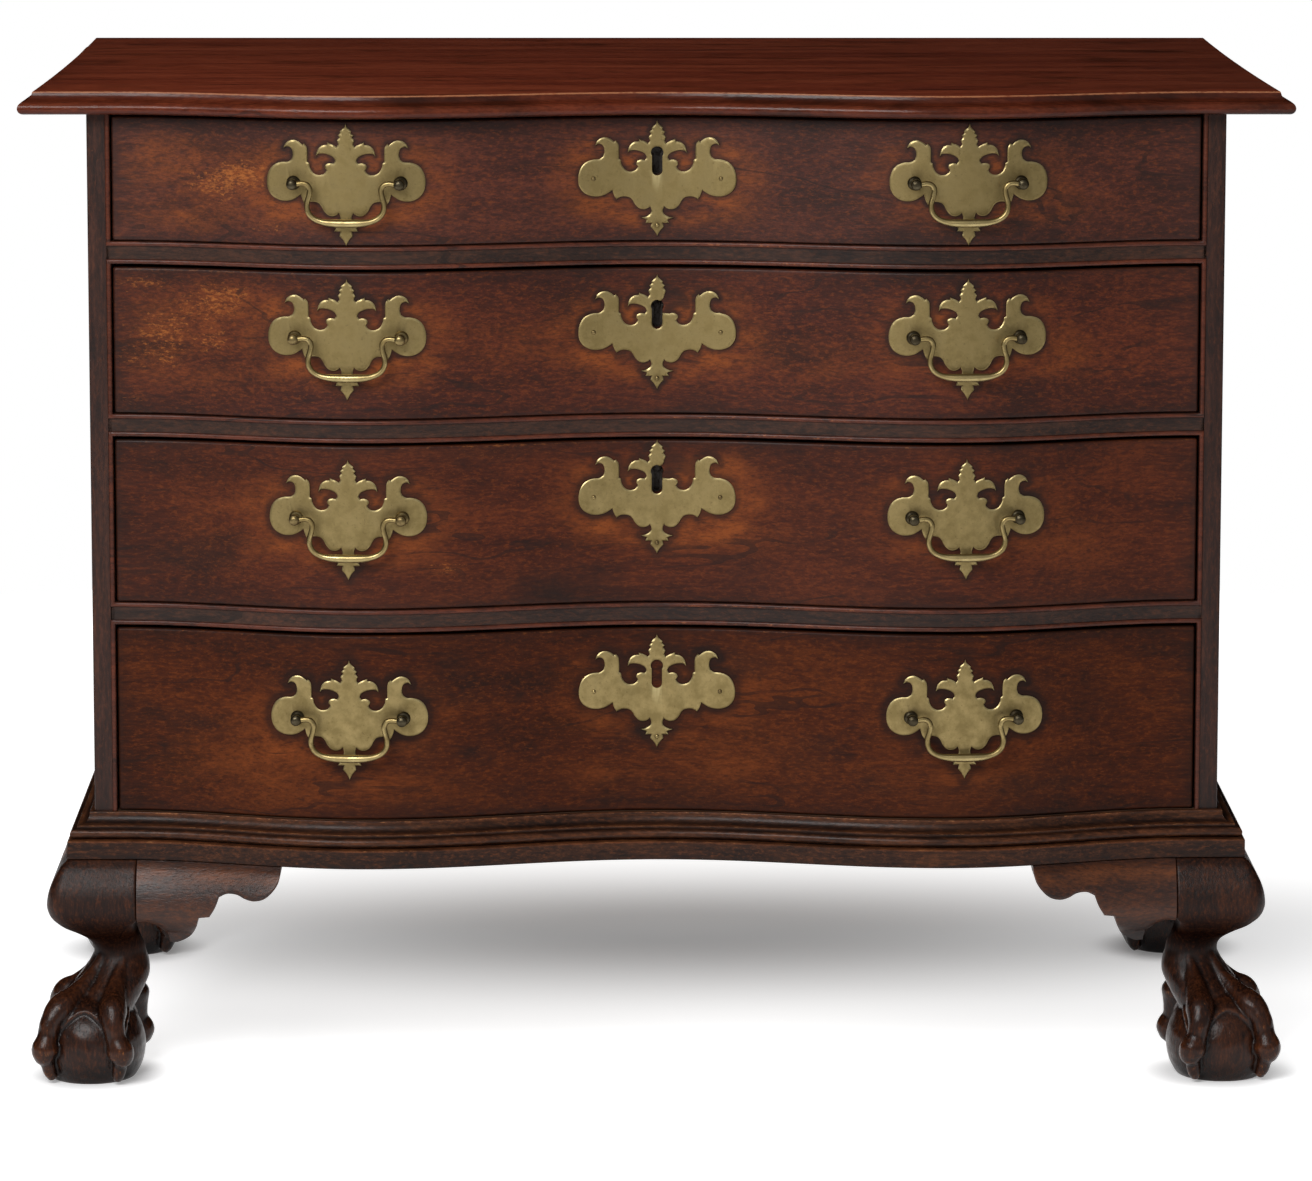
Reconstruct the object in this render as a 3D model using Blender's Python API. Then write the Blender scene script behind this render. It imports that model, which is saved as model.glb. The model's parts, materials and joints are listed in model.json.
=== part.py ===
"""Chest of four graduated drawers with an oxbow front, on claw-and-ball feet.

Units are metres, +Z is up and the front faces -Y. The origin is on the floor under the middle of
the overall box. The case stands still, each drawer slides out along -Y, each bail swings on its two
posts, and the bolts of the three upper drawers slide up out of their locks.
"""

import math

import bmesh
import bpy
import numpy as np
from mathutils import Matrix, Vector

# Clearances
SEAT = 0.0003
DRAWER_SIDE_GAP = 0.0010
DRAWER_TOP_GAP = 0.0026
DRAWER_REAR_GAP = 0.0006
PIN_PLAY = 0.0005
OVERCUT = 0.010

# Case
CASE_WIDTH = 0.910
CASE_DEPTH = 0.498
SIDE_THICKNESS = 0.0185
BOTTOM_THICKNESS = 0.018
BACK_THICKNESS = 0.012
BACK_REBATE = 0.009
BACK_LAP = 0.010
OPENING_HEIGHTS = (0.103, 0.121, 0.135, 0.153)
BLADE_THICKNESS = 0.0183
BLADE_DEPTH = 0.080
RUNNER_WIDTH = 0.026
BEAD_WIDTH = 0.0040
BEAD_RISE = 0.0014

# Front line seen from above: how far it stands in front of the stiles
CREST_SWELL = 0.040
CENTRE_SWELL = 0.004
CREST_X = 0.233
FRONT_STEPS = 24

# Top board
TOP_WIDTH = 1.016
TOP_THICKNESS = 0.018
TOP_FRONT_OVERHANG = 0.022
TOP_BACK_OVERHANG = 0.010
TOP_NOSE = 0.0100
TOP_FILLET = 0.0028
TOP_FLARE = 0.0110
TOP_END_STEPS = 5

# Base moulding
BASE_HEIGHT = 0.036
BASE_PROJECTION = 0.021
BASE_FASCIA = 0.0150
BASE_TOP_STEP = 0.004
BASE_COVE = 0.0095
BASE_FILLET = 0.0020
BASE_QUIRK = 0.0010

# Legs. A ball level is (height, talon rise). A leg station is (share of the way from the ball to the base
# moulding, outer face, inner face, roundness, talon rise); its faces are measured inward from the face of
# the base moulding, so a negative outer face stands proud of it.
LEG_HEIGHT = 0.182
KNEE_BLOCK = 0.056
FOOT_CENTRE = 0.017
BALL_RADIUS = 0.0434
BALL_HEIGHT = 0.0265
REAR_LEG_SET = 0.026
TALON_ANGLES = (0.0, 74.0, 180.0, 286.0)
TALON_WIDTH = 15.0
HEEL_GAIN = 1.4
BALL_LEVELS = (
    (0.0, 0.0), (0.006, 0.004), (0.014, 0.0095), (0.0265, 0.0090), (0.040, 0.0125), (0.050, 0.0120),
)
LEG_STATIONS = (
    (0.091, -0.0125, 0.0541, 1.00, 0.0100),
    (0.152, -0.0035, 0.0560, 1.00, 0.0068),
    (0.220, 0.0033, 0.0633, 0.85, 0.0046),
    (0.281, 0.0085, 0.0640, 0.75, 0.0034),
    (0.368, 0.0177, 0.0601, 0.70, 0.0014),
    (0.443, 0.0150, 0.0574, 0.60, 0.0),
    (0.515, 0.0040, 0.0530, 0.50, 0.0),
    (0.576, -0.0080, 0.0518, 0.42, 0.0),
    (0.629, -0.0135, KNEE_BLOCK, 0.34, 0.0),
    (0.709, -0.0169, KNEE_BLOCK, 0.28, 0.0),
    (0.803, -0.0153, KNEE_BLOCK, 0.22, 0.0),
    (0.901, -0.0096, KNEE_BLOCK, 0.16, 0.0),
    (1.000, 0.0, KNEE_BLOCK, 0.10, 0.0),
)

# Knee brackets: lower edge as (distance from the leg, drop below the base moulding)
BRACKET_THICKNESS = 0.034
BRACKET_EDGE = (
    (0.0, 0.0490), (0.0090, 0.0488), (0.0185, 0.0533), (0.0245, 0.0605), (0.0262, 0.0659),
    (0.0337, 0.0659), (0.0434, 0.0600), (0.0504, 0.0430), (0.0594, 0.0411), (0.0675, 0.0249),
    (0.0739, 0.0220), (0.0819, 0.0223), (0.0956, 0.0265), (0.1060, 0.0232), (0.1135, 0.0152),
    (0.1175, 0.0040),
)

# Drawers
FRONT_THICKNESS = 0.024
BOX_THICKNESS = 0.011
BOX_DROP = 0.004
TAIL_LENGTH = 0.015
TAIL_PITCH = 0.034
TAIL_FLARE = 0.0040
FLOOR_THICKNESS = 0.009
FLOOR_LIFT = 0.006
FLOOR_GROOVE = 0.005

# Brasses. Heights are from the foot of each drawer front to the line of the posts. Half a plate is drawn from
# its middle, and half a bail from the right-hand post inward to the grip.
PULL_X = 0.247
PULL_HEIGHTS = (0.0503, 0.0660, 0.0742, 0.0830)
PLATE_HEIGHTS = (0.0497, 0.0656, 0.0852, 0.0978)
PLATE_THICKNESS = 0.0016
ESCUTCHEON_DROP = 0.0455
POST_SPACING = 0.085
POST_REACH = 0.0130
POST_NECK = 0.0026
POST_HEAD = 0.0042
SHANK_RADIUS = 0.0022
SHANK_SPARE = 0.006
BAIL_PIN = 0.0015
BAIL_GRIP = 0.0027
PLATE_HALF = (
    (0.0, 0.0462), (0.0058, 0.0370), (0.0060, 0.0318), (0.0168, 0.0312), (0.0229, 0.0221),
    (0.0140, 0.0229), (0.0086, 0.0170), (0.0162, 0.0137), (0.0160, 0.0080), (0.0210, 0.0064),
    (0.0265, 0.0110), (0.0325, 0.0312), (0.0430, 0.0345), (0.0493, 0.0286), (0.0430, 0.0262),
    (0.0434, 0.0176), (0.0550, 0.0146), (0.0626, 0.0), (0.0580, -0.0106), (0.0485, -0.0148),
    (0.0357, -0.0083), (0.0325, -0.0164), (0.0221, -0.0172), (0.0150, -0.0243), (0.0052, -0.0238),
    (0.0045, -0.0310), (0.0132, -0.0340), (0.0060, -0.0395), (0.0, -0.0500),
)
BAIL_HALF = (
    (0.0007, 0.0), (-0.0060, 0.0), (-0.0125, -0.0012), (-0.0148, -0.0080), (-0.0120, -0.0190),
    (-0.0145, -0.0260), (-0.0215, -0.0298),
)
BAIL_DROP = 0.031

# Locks
KEYHOLE_RADIUS = 0.0040
KEYHOLE_SLOT = 0.0026
KEYHOLE_TOP = 0.0225
KEYHOLE_FOOT = 0.0060
LOCK_WIDTH = 0.066
LOCK_HEIGHT = 0.056
LOCK_THICKNESS = 0.010
BOLT_WIDTH = 0.028
BOLT_THICKNESS = 0.005
BOLT_HEIGHT = 0.019
BOLT_THROW = 0.008
STRIKE_PLAY = 0.0015
KEY_REACH = 0.006

# Derived places
HALF = CASE_WIDTH / 2
INNER = HALF - SIDE_THICKNESS
CASE_Z = LEG_HEIGHT
FLOOR_Z = CASE_Z + BASE_HEIGHT
OPENING_COUNT = len(OPENING_HEIGHTS)
TOP_Z = FLOOR_Z + sum(OPENING_HEIGHTS) + (OPENING_COUNT - 1) * BLADE_THICKNESS
FRONT_Y = -(CASE_DEPTH + TOP_BACK_OVERHANG - CREST_SWELL - TOP_FRONT_OVERHANG) / 2
BACK_Y = FRONT_Y + CASE_DEPTH
FACE = HALF + BASE_PROJECTION
OPENING_Z = tuple(
    FLOOR_Z + sum(OPENING_HEIGHTS[k + 1:]) + (OPENING_COUNT - 1 - k) * BLADE_THICKNESS
    for k in range(OPENING_COUNT)
)


def swell(x):
    """How far the front stands forward at x: a cosine wave from centre to crest, another to the stile."""
    a = np.abs(x)
    inner = CENTRE_SWELL + (CREST_SWELL - CENTRE_SWELL) * (1 - np.cos(np.pi * a / CREST_X)) / 2
    outer = CREST_SWELL * (1 + np.cos(np.pi * np.clip((a - CREST_X) / (INNER - CREST_X), 0, 1))) / 2
    return np.where(a < CREST_X, inner, outer)


STATIONS = np.linspace(-INNER, INNER, FRONT_STEPS + 1)


def front_line(x):
    """The front line as straight steps between the stations, shared by every piece that lies along it."""
    return FRONT_Y - np.interp(x, STATIONS, swell(STATIONS))


def stations_between(low, high):
    """Both ends and every station of the front line that lies between them."""
    inside = STATIONS[(STATIONS > low + 1e-4) & (STATIONS < high - 1e-4)]
    return np.concatenate(([low], inside, [high]))


def material(name, colour, roughness, metallic=0.0):
    made = bpy.data.materials.new(name)
    made.use_nodes = True
    shader = made.node_tree.nodes["Principled BSDF"]
    shader.inputs["Base Color"].default_value = (*colour, 1.0)
    shader.inputs["Roughness"].default_value = roughness
    shader.inputs["Metallic"].default_value = metallic
    return made


def mesh_object(name, verts, faces, finish=None):
    mesh = bpy.data.meshes.new(name)
    mesh.from_pydata([tuple(map(float, v)) for v in verts], [], faces)
    bm = bmesh.new()
    bm.from_mesh(mesh)
    bmesh.ops.recalc_face_normals(bm, faces=bm.faces)
    bm.to_mesh(mesh)
    bm.free()
    if finish:
        mesh.materials.append(finish)
    made = bpy.data.objects.new(name, mesh)
    bpy.context.collection.objects.link(made)
    return made


def loft(name, rings, finish=None):
    """A closed body through rings of equal point count, with a flat face at each end."""
    rings = np.asarray(rings, dtype=float)
    count, around = rings.shape[:2]
    verts = rings.reshape(-1, 3)
    faces = []
    for i in range(count - 1):
        for j in range(around):
            k = (j + 1) % around
            faces.append((i * around + j, i * around + k, (i + 1) * around + k, (i + 1) * around + j))
    faces.append(tuple(range(around)))
    faces.append(tuple((count - 1) * around + j for j in range(around)))
    return mesh_object(name, verts, faces, finish)


def prism(name, outline, axis, low, high, finish=None):
    """An outline drawn on the two other axes, carried along one axis from low to high."""
    outline = np.asarray(outline, dtype=float)
    rings = []
    for level in (low, high):
        rings.append(np.insert(outline, axis, level, axis=1))
    return loft(name, rings, finish)


def box(name, low, high, finish=None):
    outline = ((low[0], low[1]), (high[0], low[1]), (high[0], high[1]), (low[0], high[1]))
    return prism(name, outline, 2, low[2], high[2], finish)


def combine(target, tool, operation):
    """Joins the tool to the target or cuts it away, and removes the tool."""
    change = target.modifiers.new(operation, "BOOLEAN")
    change.operation = operation
    change.solver = "EXACT"
    change.object = tool
    view = bpy.context.evaluated_depsgraph_get()
    result = bpy.data.meshes.new_from_object(target.evaluated_get(view))
    target.modifiers.clear()
    target.data = result
    bpy.data.objects.remove(tool)


def joined(name, pieces):
    """One object that holds the meshes of several separate pieces."""
    verts = []
    faces = []
    for piece in pieces:
        start = len(verts)
        verts.extend(piece.matrix_world @ v.co for v in piece.data.vertices)
        faces.extend(tuple(start + i for i in face.vertices) for face in piece.data.polygons)
        bpy.data.objects.remove(piece)
    return mesh_object(name, verts, faces)


def empty(name, place):
    made = bpy.data.objects.new(name, None)
    made.location = place
    bpy.context.collection.objects.link(made)
    return made


def attach(piece, parent):
    """Hangs a piece on an empty without moving it."""
    piece.parent = parent
    piece.matrix_parent_inverse = parent.matrix_basis.inverted()


def bead(rise, start, width):
    """Four points of a small rounded bead, as (rise, place across)."""
    return [(0.0, start), (rise, start + 0.27 * width), (rise, start + 0.73 * width), (0.0, start + width)]


def top_half_width(y):
    """Half the width of the top at y: the ends sweep out to the front corners, steepest at the front."""
    front = FRONT_Y - TOP_FRONT_OVERHANG
    share = (y - front) / (BACK_Y + TOP_BACK_OVERHANG - front)
    return TOP_WIDTH / 2 - TOP_FLARE * (1 - (1 - share) ** 2)


def top_edge():
    """The moulded edge from the underside up, as (inset, height): a half-round nose, a fillet and a cove."""
    nose = TOP_NOSE / 2
    edge = [(nose - nose * math.cos(a), nose + nose * math.sin(a)) for a in np.radians((-90, -45, 0, 30, 55))]
    cove = TOP_THICKNESS - TOP_NOSE
    for a in np.radians((0, 35, 65)):
        edge.append((TOP_FILLET + cove * math.sin(a), TOP_THICKNESS - cove * math.cos(a)))
    edge.append((TOP_FILLET + cove, TOP_THICKNESS))
    return edge


def build_top(finish):
    """The top board: rings of its plan outline, each set in by the moulded edge at that height."""
    front = FRONT_Y - TOP_FRONT_OVERHANG
    back = BACK_Y + TOP_BACK_OVERHANG
    rings = []
    for inset, height in top_edge():
        ys = np.linspace(front + inset, back, TOP_END_STEPS + 1)
        ends = top_half_width(ys) - inset
        xs = np.concatenate(([-ends[0]], STATIONS, [ends[0]]))
        plan = list(zip(xs, front_line(xs) - TOP_FRONT_OVERHANG + inset))
        plan += list(zip(ends[1:], ys[1:]))
        plan += list(zip(-ends[:0:-1], ys[:0:-1]))
        rings.append([(x, y, TOP_Z + height) for x, y in plan])
    return loft("top_board", rings, finish)


def build_side(name, sign, finish):
    """A case side with its stile bead and back rebate, housings for the blades, and drawer runners."""
    outline = [(HALF, FRONT_Y)]
    outline += [(INNER + BEAD_WIDTH - at, FRONT_Y - rise) for rise, at in bead(BEAD_RISE, 0.0, BEAD_WIDTH)]
    outline += [(INNER, BACK_Y - BACK_THICKNESS), (INNER + BACK_REBATE, BACK_Y - BACK_THICKNESS)]
    outline += [(INNER + BACK_REBATE, BACK_Y), (HALF, BACK_Y)]
    outline = [(sign * x, y) for x, y in outline]
    side = prism(name, outline, 2, CASE_Z, TOP_Z - SEAT, finish)
    rails = []
    housings = []
    for z in OPENING_Z[:-1]:
        low = z - BLADE_THICKNESS
        reach = sorted((sign * (INNER - OVERCUT), sign * (INNER + BEAD_WIDTH)))
        housings.append(box("housing", (reach[0], FRONT_Y - OVERCUT, low - SEAT),
                            (reach[1], FRONT_Y + BLADE_DEPTH + SEAT, z + SEAT)))
        reach = sorted((sign * (INNER - RUNNER_WIDTH), sign * (INNER + SEAT)))
        rails.append(box("runner", (reach[0], FRONT_Y + BLADE_DEPTH + 2 * SEAT, low),
                         (reach[1], BACK_Y - BACK_THICKNESS - SEAT, z)))
    reach = sorted((sign * (INNER - OVERCUT), sign * (INNER + BEAD_WIDTH)))
    housings.append(box("housing", (reach[0], FRONT_Y - OVERCUT, FLOOR_Z - BOTTOM_THICKNESS - SEAT),
                        (reach[1], BACK_Y - BACK_THICKNESS, FLOOR_Z + SEAT)))
    combine(side, joined("housings", housings), "DIFFERENCE")
    stop = box("bead_stop", (reach[0], FRONT_Y - OVERCUT, CASE_Z - OVERCUT),
               (reach[1], FRONT_Y, FLOOR_Z + SEAT))
    combine(side, stop, "DIFFERENCE")
    combine(side, joined("runners", rails), "UNION")
    return side


def build_blade(index, finish):
    """A drawer blade: its beaded section carried along the front line, straight at the back."""
    high = OPENING_Z[index]
    low = high - BLADE_THICKNESS
    section = bead(BEAD_RISE, low, BEAD_WIDTH) + bead(BEAD_RISE, high - BEAD_WIDTH, BEAD_WIDTH)
    end = INNER + BEAD_WIDTH - SEAT
    rings = []
    for x in np.concatenate(([-end], STATIONS[1:-1], [end])):
        ring = [(x, front_line(x) - rise, z) for rise, z in section]
        ring += [(x, FRONT_Y + BLADE_DEPTH, high), (x, FRONT_Y + BLADE_DEPTH, low)]
        rings.append(ring)
    return loft(f"drawer_blade_{index + 1}", rings, finish)


def build_bottom(finish):
    """The case bottom, its front edge along the front line, housed in both sides."""
    end = INNER + BEAD_WIDTH - SEAT
    xs = np.concatenate(([-end], STATIONS[1:-1], [end]))
    outline = list(zip(xs, front_line(xs)))
    outline += [(end, BACK_Y - BACK_THICKNESS - SEAT), (-end, BACK_Y - BACK_THICKNESS - SEAT)]
    return prism("case_bottom", outline, 2, FLOOR_Z - BOTTOM_THICKNESS, FLOOR_Z, finish)


def build_back(finish):
    """Two back boards that lap half their thickness over each other."""
    low = CASE_Z
    high = TOP_Z - SEAT
    middle = (low + high) / 2
    inner = BACK_Y - BACK_THICKNESS + SEAT
    lap = BACK_Y - BACK_THICKNESS / 2
    half = INNER + BACK_REBATE - SEAT
    lower = ((inner, low), (BACK_Y, low), (BACK_Y, middle - BACK_LAP), (lap + SEAT, middle - BACK_LAP),
             (lap + SEAT, middle), (inner, middle))
    tongue = lap + 2 * SEAT
    upper = ((inner, middle + SEAT), (tongue, middle + SEAT), (tongue, middle - BACK_LAP + SEAT),
             (BACK_Y, middle - BACK_LAP + SEAT), (BACK_Y, high), (inner, high))
    return [prism("back_board_lower", lower, 0, -half, half, finish),
            prism("back_board_upper", upper, 0, -half, half, finish)]


def base_section():
    """The base moulding from its top edge down, as (projection, height above its underside)."""
    cove_foot = BASE_HEIGHT - BASE_COVE
    cove_out = BASE_TOP_STEP + BASE_COVE - BASE_FILLET
    round_top = cove_foot - BASE_FILLET
    round_in = cove_out + BASE_FILLET
    round_out = BASE_PROJECTION - BASE_FILLET
    round_foot = BASE_FASCIA + BASE_QUIRK
    section = [(SEAT, BASE_HEIGHT), (BASE_TOP_STEP, BASE_HEIGHT)]
    for a in np.radians((0, 50, 90)):
        out = cove_out - (cove_out - BASE_TOP_STEP) * math.cos(a)
        section.append((out, BASE_HEIGHT - BASE_QUIRK - (BASE_COVE - BASE_QUIRK) * math.sin(a)))
    section += [(round_in, cove_foot), (round_in, round_top)]
    for a in np.radians((40, 90)):
        out = round_in + (round_out - round_in) * math.sin(a)
        section.append((out, round_foot + (round_top - round_foot) * math.cos(a)))
    section += [(round_out, BASE_FASCIA), (BASE_PROJECTION, BASE_FASCIA), (BASE_PROJECTION, 0.0), (SEAT, 0.0)]
    return section


def build_base(finish):
    """The base moulding in three mitred lengths: one along the front line and one along each side."""
    section = base_section()
    rings = [[(-HALF - p, FRONT_Y - p, CASE_Z + z) for p, z in section]]
    for x in STATIONS:
        rings.append([(x, front_line(x) - p, CASE_Z + z) for p, z in section])
    rings.append([(HALF + p, FRONT_Y - p, CASE_Z + z) for p, z in section])
    pieces = [loft("base_moulding_front", rings, finish)]
    for name, sign in (("left", -1), ("right", 1)):
        front = [(sign * (HALF + p), FRONT_Y - p + 2 * SEAT, CASE_Z + z) for p, z in section]
        back = [(sign * (HALF + p), BACK_Y, CASE_Z + z) for p, z in section]
        pieces.append(loft(f"base_moulding_{name}", (front, back), finish))
    return pieces


def rounded_square(angle, half, corner):
    """Distance from the middle of a square to its outline, whose corners are arcs of the given radius."""
    along = np.maximum(np.abs(np.cos(angle)), np.abs(np.sin(angle)))
    across = np.minimum(np.abs(np.cos(angle)), np.abs(np.sin(angle)))
    core = half - corner
    flat = half / along
    total = core * (along + across)
    arc = total + np.sqrt(np.maximum(total ** 2 - 2 * core ** 2 + corner ** 2, 0))
    return np.where(flat * across <= core, flat, arc)


def talons(angle, rise):
    """Four ridges that stand out of the foot and ankle, the heel one the stoutest."""
    height = np.zeros_like(angle)
    for centre in TALON_ANGLES:
        away = (np.degrees(angle) - centre + 180) % 360 - 180
        gain = HEEL_GAIN if centre == 180.0 else 1.0
        height = np.maximum(height, gain * rise * np.exp(-((away / TALON_WIDTH) ** 2) * 1.4))
    return height


def leg_angles():
    """Directions round the leg, measured from its outward diagonal, closest together over the talons."""
    steps = [37.0, 90.0, 127.0, 233.0, 270.0, 323.0]
    for centre in TALON_ANGLES:
        steps += [centre + TALON_WIDTH * k for k in (-1.3, -0.4, 0.4, 1.3)]
    return np.radians(sorted(a % 360 for a in steps))


def leg_heights():
    """Heights of the leg stations above the floor."""
    start = BALL_LEVELS[-1][0]
    return [start + station[0] * (LEG_HEIGHT - SEAT - start) for station in LEG_STATIONS]


def leg_rings():
    """Level outlines up the leg, with x and y inward from the corner of the base moulding."""
    angles = leg_angles()
    plan = angles + math.radians(225)
    levels = []
    for z, rise in BALL_LEVELS:
        radius = math.sqrt(BALL_RADIUS ** 2 - (z - BALL_HEIGHT) ** 2)
        levels.append((z, FOOT_CENTRE - radius, FOOT_CENTRE + radius, 1.0, rise))
    for z, station in zip(leg_heights(), LEG_STATIONS):
        levels.append((z, *station[1:]))
    rings = []
    for z, outer, inner, roundness, rise in levels:
        half = (inner - outer) / 2
        middle = (inner + outer) / 2
        radius = rounded_square(plan, half, roundness * half) + talons(angles, rise)
        x = middle + radius * np.cos(plan)
        y = middle + radius * np.sin(plan)
        rings.append(np.stack((x, y, np.full_like(plan, z)), axis=1))
    return np.array(rings)


def knee_face(drop):
    """How far the knee stands proud of the base moulding, at a drop below it."""
    drops = [LEG_HEIGHT - z for z in reversed(leg_heights())]
    proud = [-station[1] for station in reversed(LEG_STATIONS)]
    return np.interp(drop, drops, proud)


def corner_place(side, end):
    """The corner of the base moulding over a leg, and the directions inward from it."""
    if end == "front":
        return side * FACE, FRONT_Y - BASE_PROJECTION, -side, 1
    return side * FACE, BACK_Y - REAR_LEG_SET, -side, -1


def build_leg(name, side, end, finish):
    x, y, inward_x, inward_y = corner_place(side, end)
    rings = leg_rings() * (inward_x, inward_y, 1) + (x, y, 0)
    return loft(name, rings, finish)


def build_bracket(name, side, end, along_front, finish):
    """A knee bracket: the knee's swell carried along the base moulding down to a scrolled lower edge."""
    x, y, inward_x, inward_y = corner_place(side, end)
    rings = []
    for along, drop in BRACKET_EDGE:
        reach = KNEE_BLOCK + SEAT + along
        drops = np.linspace(SEAT, drop, 5)
        out = np.concatenate((-knee_face(drops), (BRACKET_THICKNESS, BRACKET_THICKNESS)))
        down = np.concatenate((drops, (drop, SEAT)))
        if along_front:
            at = x + inward_x * reach
            line = front_line(at) - BASE_PROJECTION
            ring = [(at, line + inward_y * o, LEG_HEIGHT - d) for o, d in zip(out, down)]
        else:
            ring = [(x + inward_x * o, y + inward_y * reach, LEG_HEIGHT - d) for o, d in zip(out, down)]
        rings.append(ring)
    return loft(name, rings, finish)


def plate_outline():
    """The whole outline of a brass plate, from the half that is drawn."""
    right = np.array(PLATE_HALF)
    left = right[-2:0:-1] * (-1, 1)
    return np.concatenate((right, left))


def bend_to_front(piece, centre, stand_off):
    """Cuts a flat plate at the stations and lays it along the front line, stand_off in front of it."""
    bm = bmesh.new()
    bm.from_mesh(piece.data)
    for x in STATIONS:
        whole = bm.verts[:] + bm.edges[:] + bm.faces[:]
        bmesh.ops.bisect_plane(bm, geom=whole, dist=1e-6, plane_co=(x - centre, 0, 0), plane_no=(1, 0, 0))
    for vertex in bm.verts:
        vertex.co.x += centre
        vertex.co.y += float(front_line(vertex.co.x)) - stand_off
    bm.to_mesh(piece.data)
    bm.free()


def pull_axis(side):
    """The two post heads of a pull, on the line that the bail swings about."""
    ends = []
    for sign in (-1, 1):
        x = side * PULL_X + sign * POST_SPACING / 2
        ends.append(Vector((x, float(front_line(x)) - SEAT - PLATE_THICKNESS - POST_REACH, 0.0)))
    return ends


def turned(name, start, direction, profile, sides, finish=None):
    """A turned piece: (distance along the direction, radius) pairs carried round it."""
    direction = Vector(direction).normalized()
    across = direction.cross(Vector((0, 0, 1))).normalized()
    up = across.cross(direction)
    rings = []
    for along, radius in profile:
        middle = Vector(start) + direction * along
        turn = [2 * math.pi * (k + 0.5) / sides for k in range(sides)]
        rings.append([middle + radius * (math.cos(t) * across + math.sin(t) * up) for t in turn])
    return loft(name, rings, finish)


def shanks(side, radius):
    """The post shanks of one pull, through the drawer front, at post height zero."""
    pieces = []
    first, second = pull_axis(side)
    inward = (second - first).normalized().cross(Vector((0, 0, -1)))
    for head in (first, second):
        start = head + inward * (POST_REACH - SEAT)
        length = PLATE_THICKNESS + FRONT_THICKNESS + SHANK_SPARE
        pieces.append(turned("shank", start, inward, ((0.0, radius), (length, radius)), 6))
    return pieces


def build_pull(side, finish):
    """A pull plate bent along the front, with its posts fused on and their heads bored for the bail."""
    plate = prism("pull_plate", plate_outline(), 1, 0.0, PLATE_THICKNESS, finish)
    bend_to_front(plate, side * PULL_X, SEAT + PLATE_THICKNESS)
    first, second = pull_axis(side)
    axis = (second - first).normalized()
    inward = axis.cross(Vector((0, 0, -1)))
    profile = ((-POST_HEAD, POST_HEAD * 0.55), (-POST_HEAD * 0.45, POST_HEAD), (POST_HEAD * 0.45, POST_HEAD),
               (POST_HEAD, POST_NECK), (POST_REACH + SEAT, POST_NECK))
    for head, toward in ((first, axis), (second, -axis)):
        combine(plate, turned("post", head, inward, profile, 6), "UNION")
        bore = turned("bore", head - toward * (POST_HEAD * 0.45), toward,
                      ((0.0, BAIL_PIN + PIN_PLAY), (POST_HEAD * 2, BAIL_PIN + PIN_PLAY)), 6)
        combine(plate, bore, "DIFFERENCE")
    for shank in shanks(side, SHANK_RADIUS):
        combine(plate, shank, "UNION")
    return plate


def build_bail(side, finish):
    """A bail: a rod along a swan-neck path, thin at its pins and stout at the grip."""
    half = np.array(BAIL_HALF) + (POST_SPACING / 2, 0.0)
    path = np.concatenate((half, [(0.0, -BAIL_DROP)], half[::-1] * (-1, 1)))
    first, second = pull_axis(side)
    axis = (second - first).normalized()
    middle = (first + second) / 2
    out = axis.cross(Vector((0, 0, 1)))
    tangent = np.gradient(path, axis=0)
    tangent[0] = (-1, 0)
    tangent[-1] = (-1, 0)
    tangent /= np.linalg.norm(tangent, axis=1)[:, None]
    grip = np.clip(-path[:, 1] / BAIL_DROP, 0, 1)
    radius = BAIL_PIN + (BAIL_GRIP - BAIL_PIN) * grip
    rings = []
    for (x, z), (tx, tz), r in zip(path.tolist(), tangent.tolist(), radius.tolist()):
        centre = middle + axis * x + Vector((0, 0, z))
        normal = axis * (-tz) + Vector((0, 0, tx))
        turn = [2 * math.pi * (k + 0.5) / 6 for k in range(6)]
        rings.append([centre + r * (math.cos(t) * out + math.sin(t) * normal) for t in turn])
    return loft("bail", rings, finish)


def keyhole(lift):
    """The outline of a keyhole: a round head over a slot with a rounded foot."""
    spread = math.asin(KEYHOLE_SLOT / KEYHOLE_RADIUS)
    head = KEYHOLE_TOP + lift
    points = []
    for k in range(7):
        a = -math.pi / 2 + spread + (2 * math.pi - 2 * spread) * k / 6
        points.append((KEYHOLE_RADIUS * math.cos(a), head + KEYHOLE_RADIUS * math.sin(a)))
    foot = KEYHOLE_FOOT + lift
    for a in (-150, -90, -30):
        a = math.radians(a)
        points.append((KEYHOLE_SLOT * math.cos(a), foot + KEYHOLE_SLOT * math.sin(a)))
    return points


def build_escutcheon(finish):
    """A keyhole plate with the outline of the pulls and a shorter pendant, bent along the middle of the front."""
    outline = plate_outline()
    shorten = -ESCUTCHEON_DROP / outline[:, 1].min()
    outline[:, 1] = np.where(outline[:, 1] < 0, outline[:, 1] * shorten, outline[:, 1])
    plate = prism("escutcheon", outline, 1, 0.0, PLATE_THICKNESS, finish)
    combine(plate, prism("key", keyhole(0.0), 1, -OVERCUT, OVERCUT), "DIFFERENCE")
    bend_to_front(plate, 0.0, SEAT + PLATE_THICKNESS)
    return plate


def tail_outline(height, grow, length):
    """Dovetails on the front end of a drawer side, as separate outlines of (distance forward, height)."""
    count = max(2, round(height / TAIL_PITCH))
    pitch = height / count
    shapes = []
    for k in range(count):
        middle = (k + 0.5) * pitch
        root = pitch * 0.30 + grow
        tip = root + TAIL_FLARE
        shapes.append(((-length - grow, middle - tip), (-length - grow, middle + tip),
                       (OVERCUT, middle + root), (OVERCUT, middle - root)))
    return shapes


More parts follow.
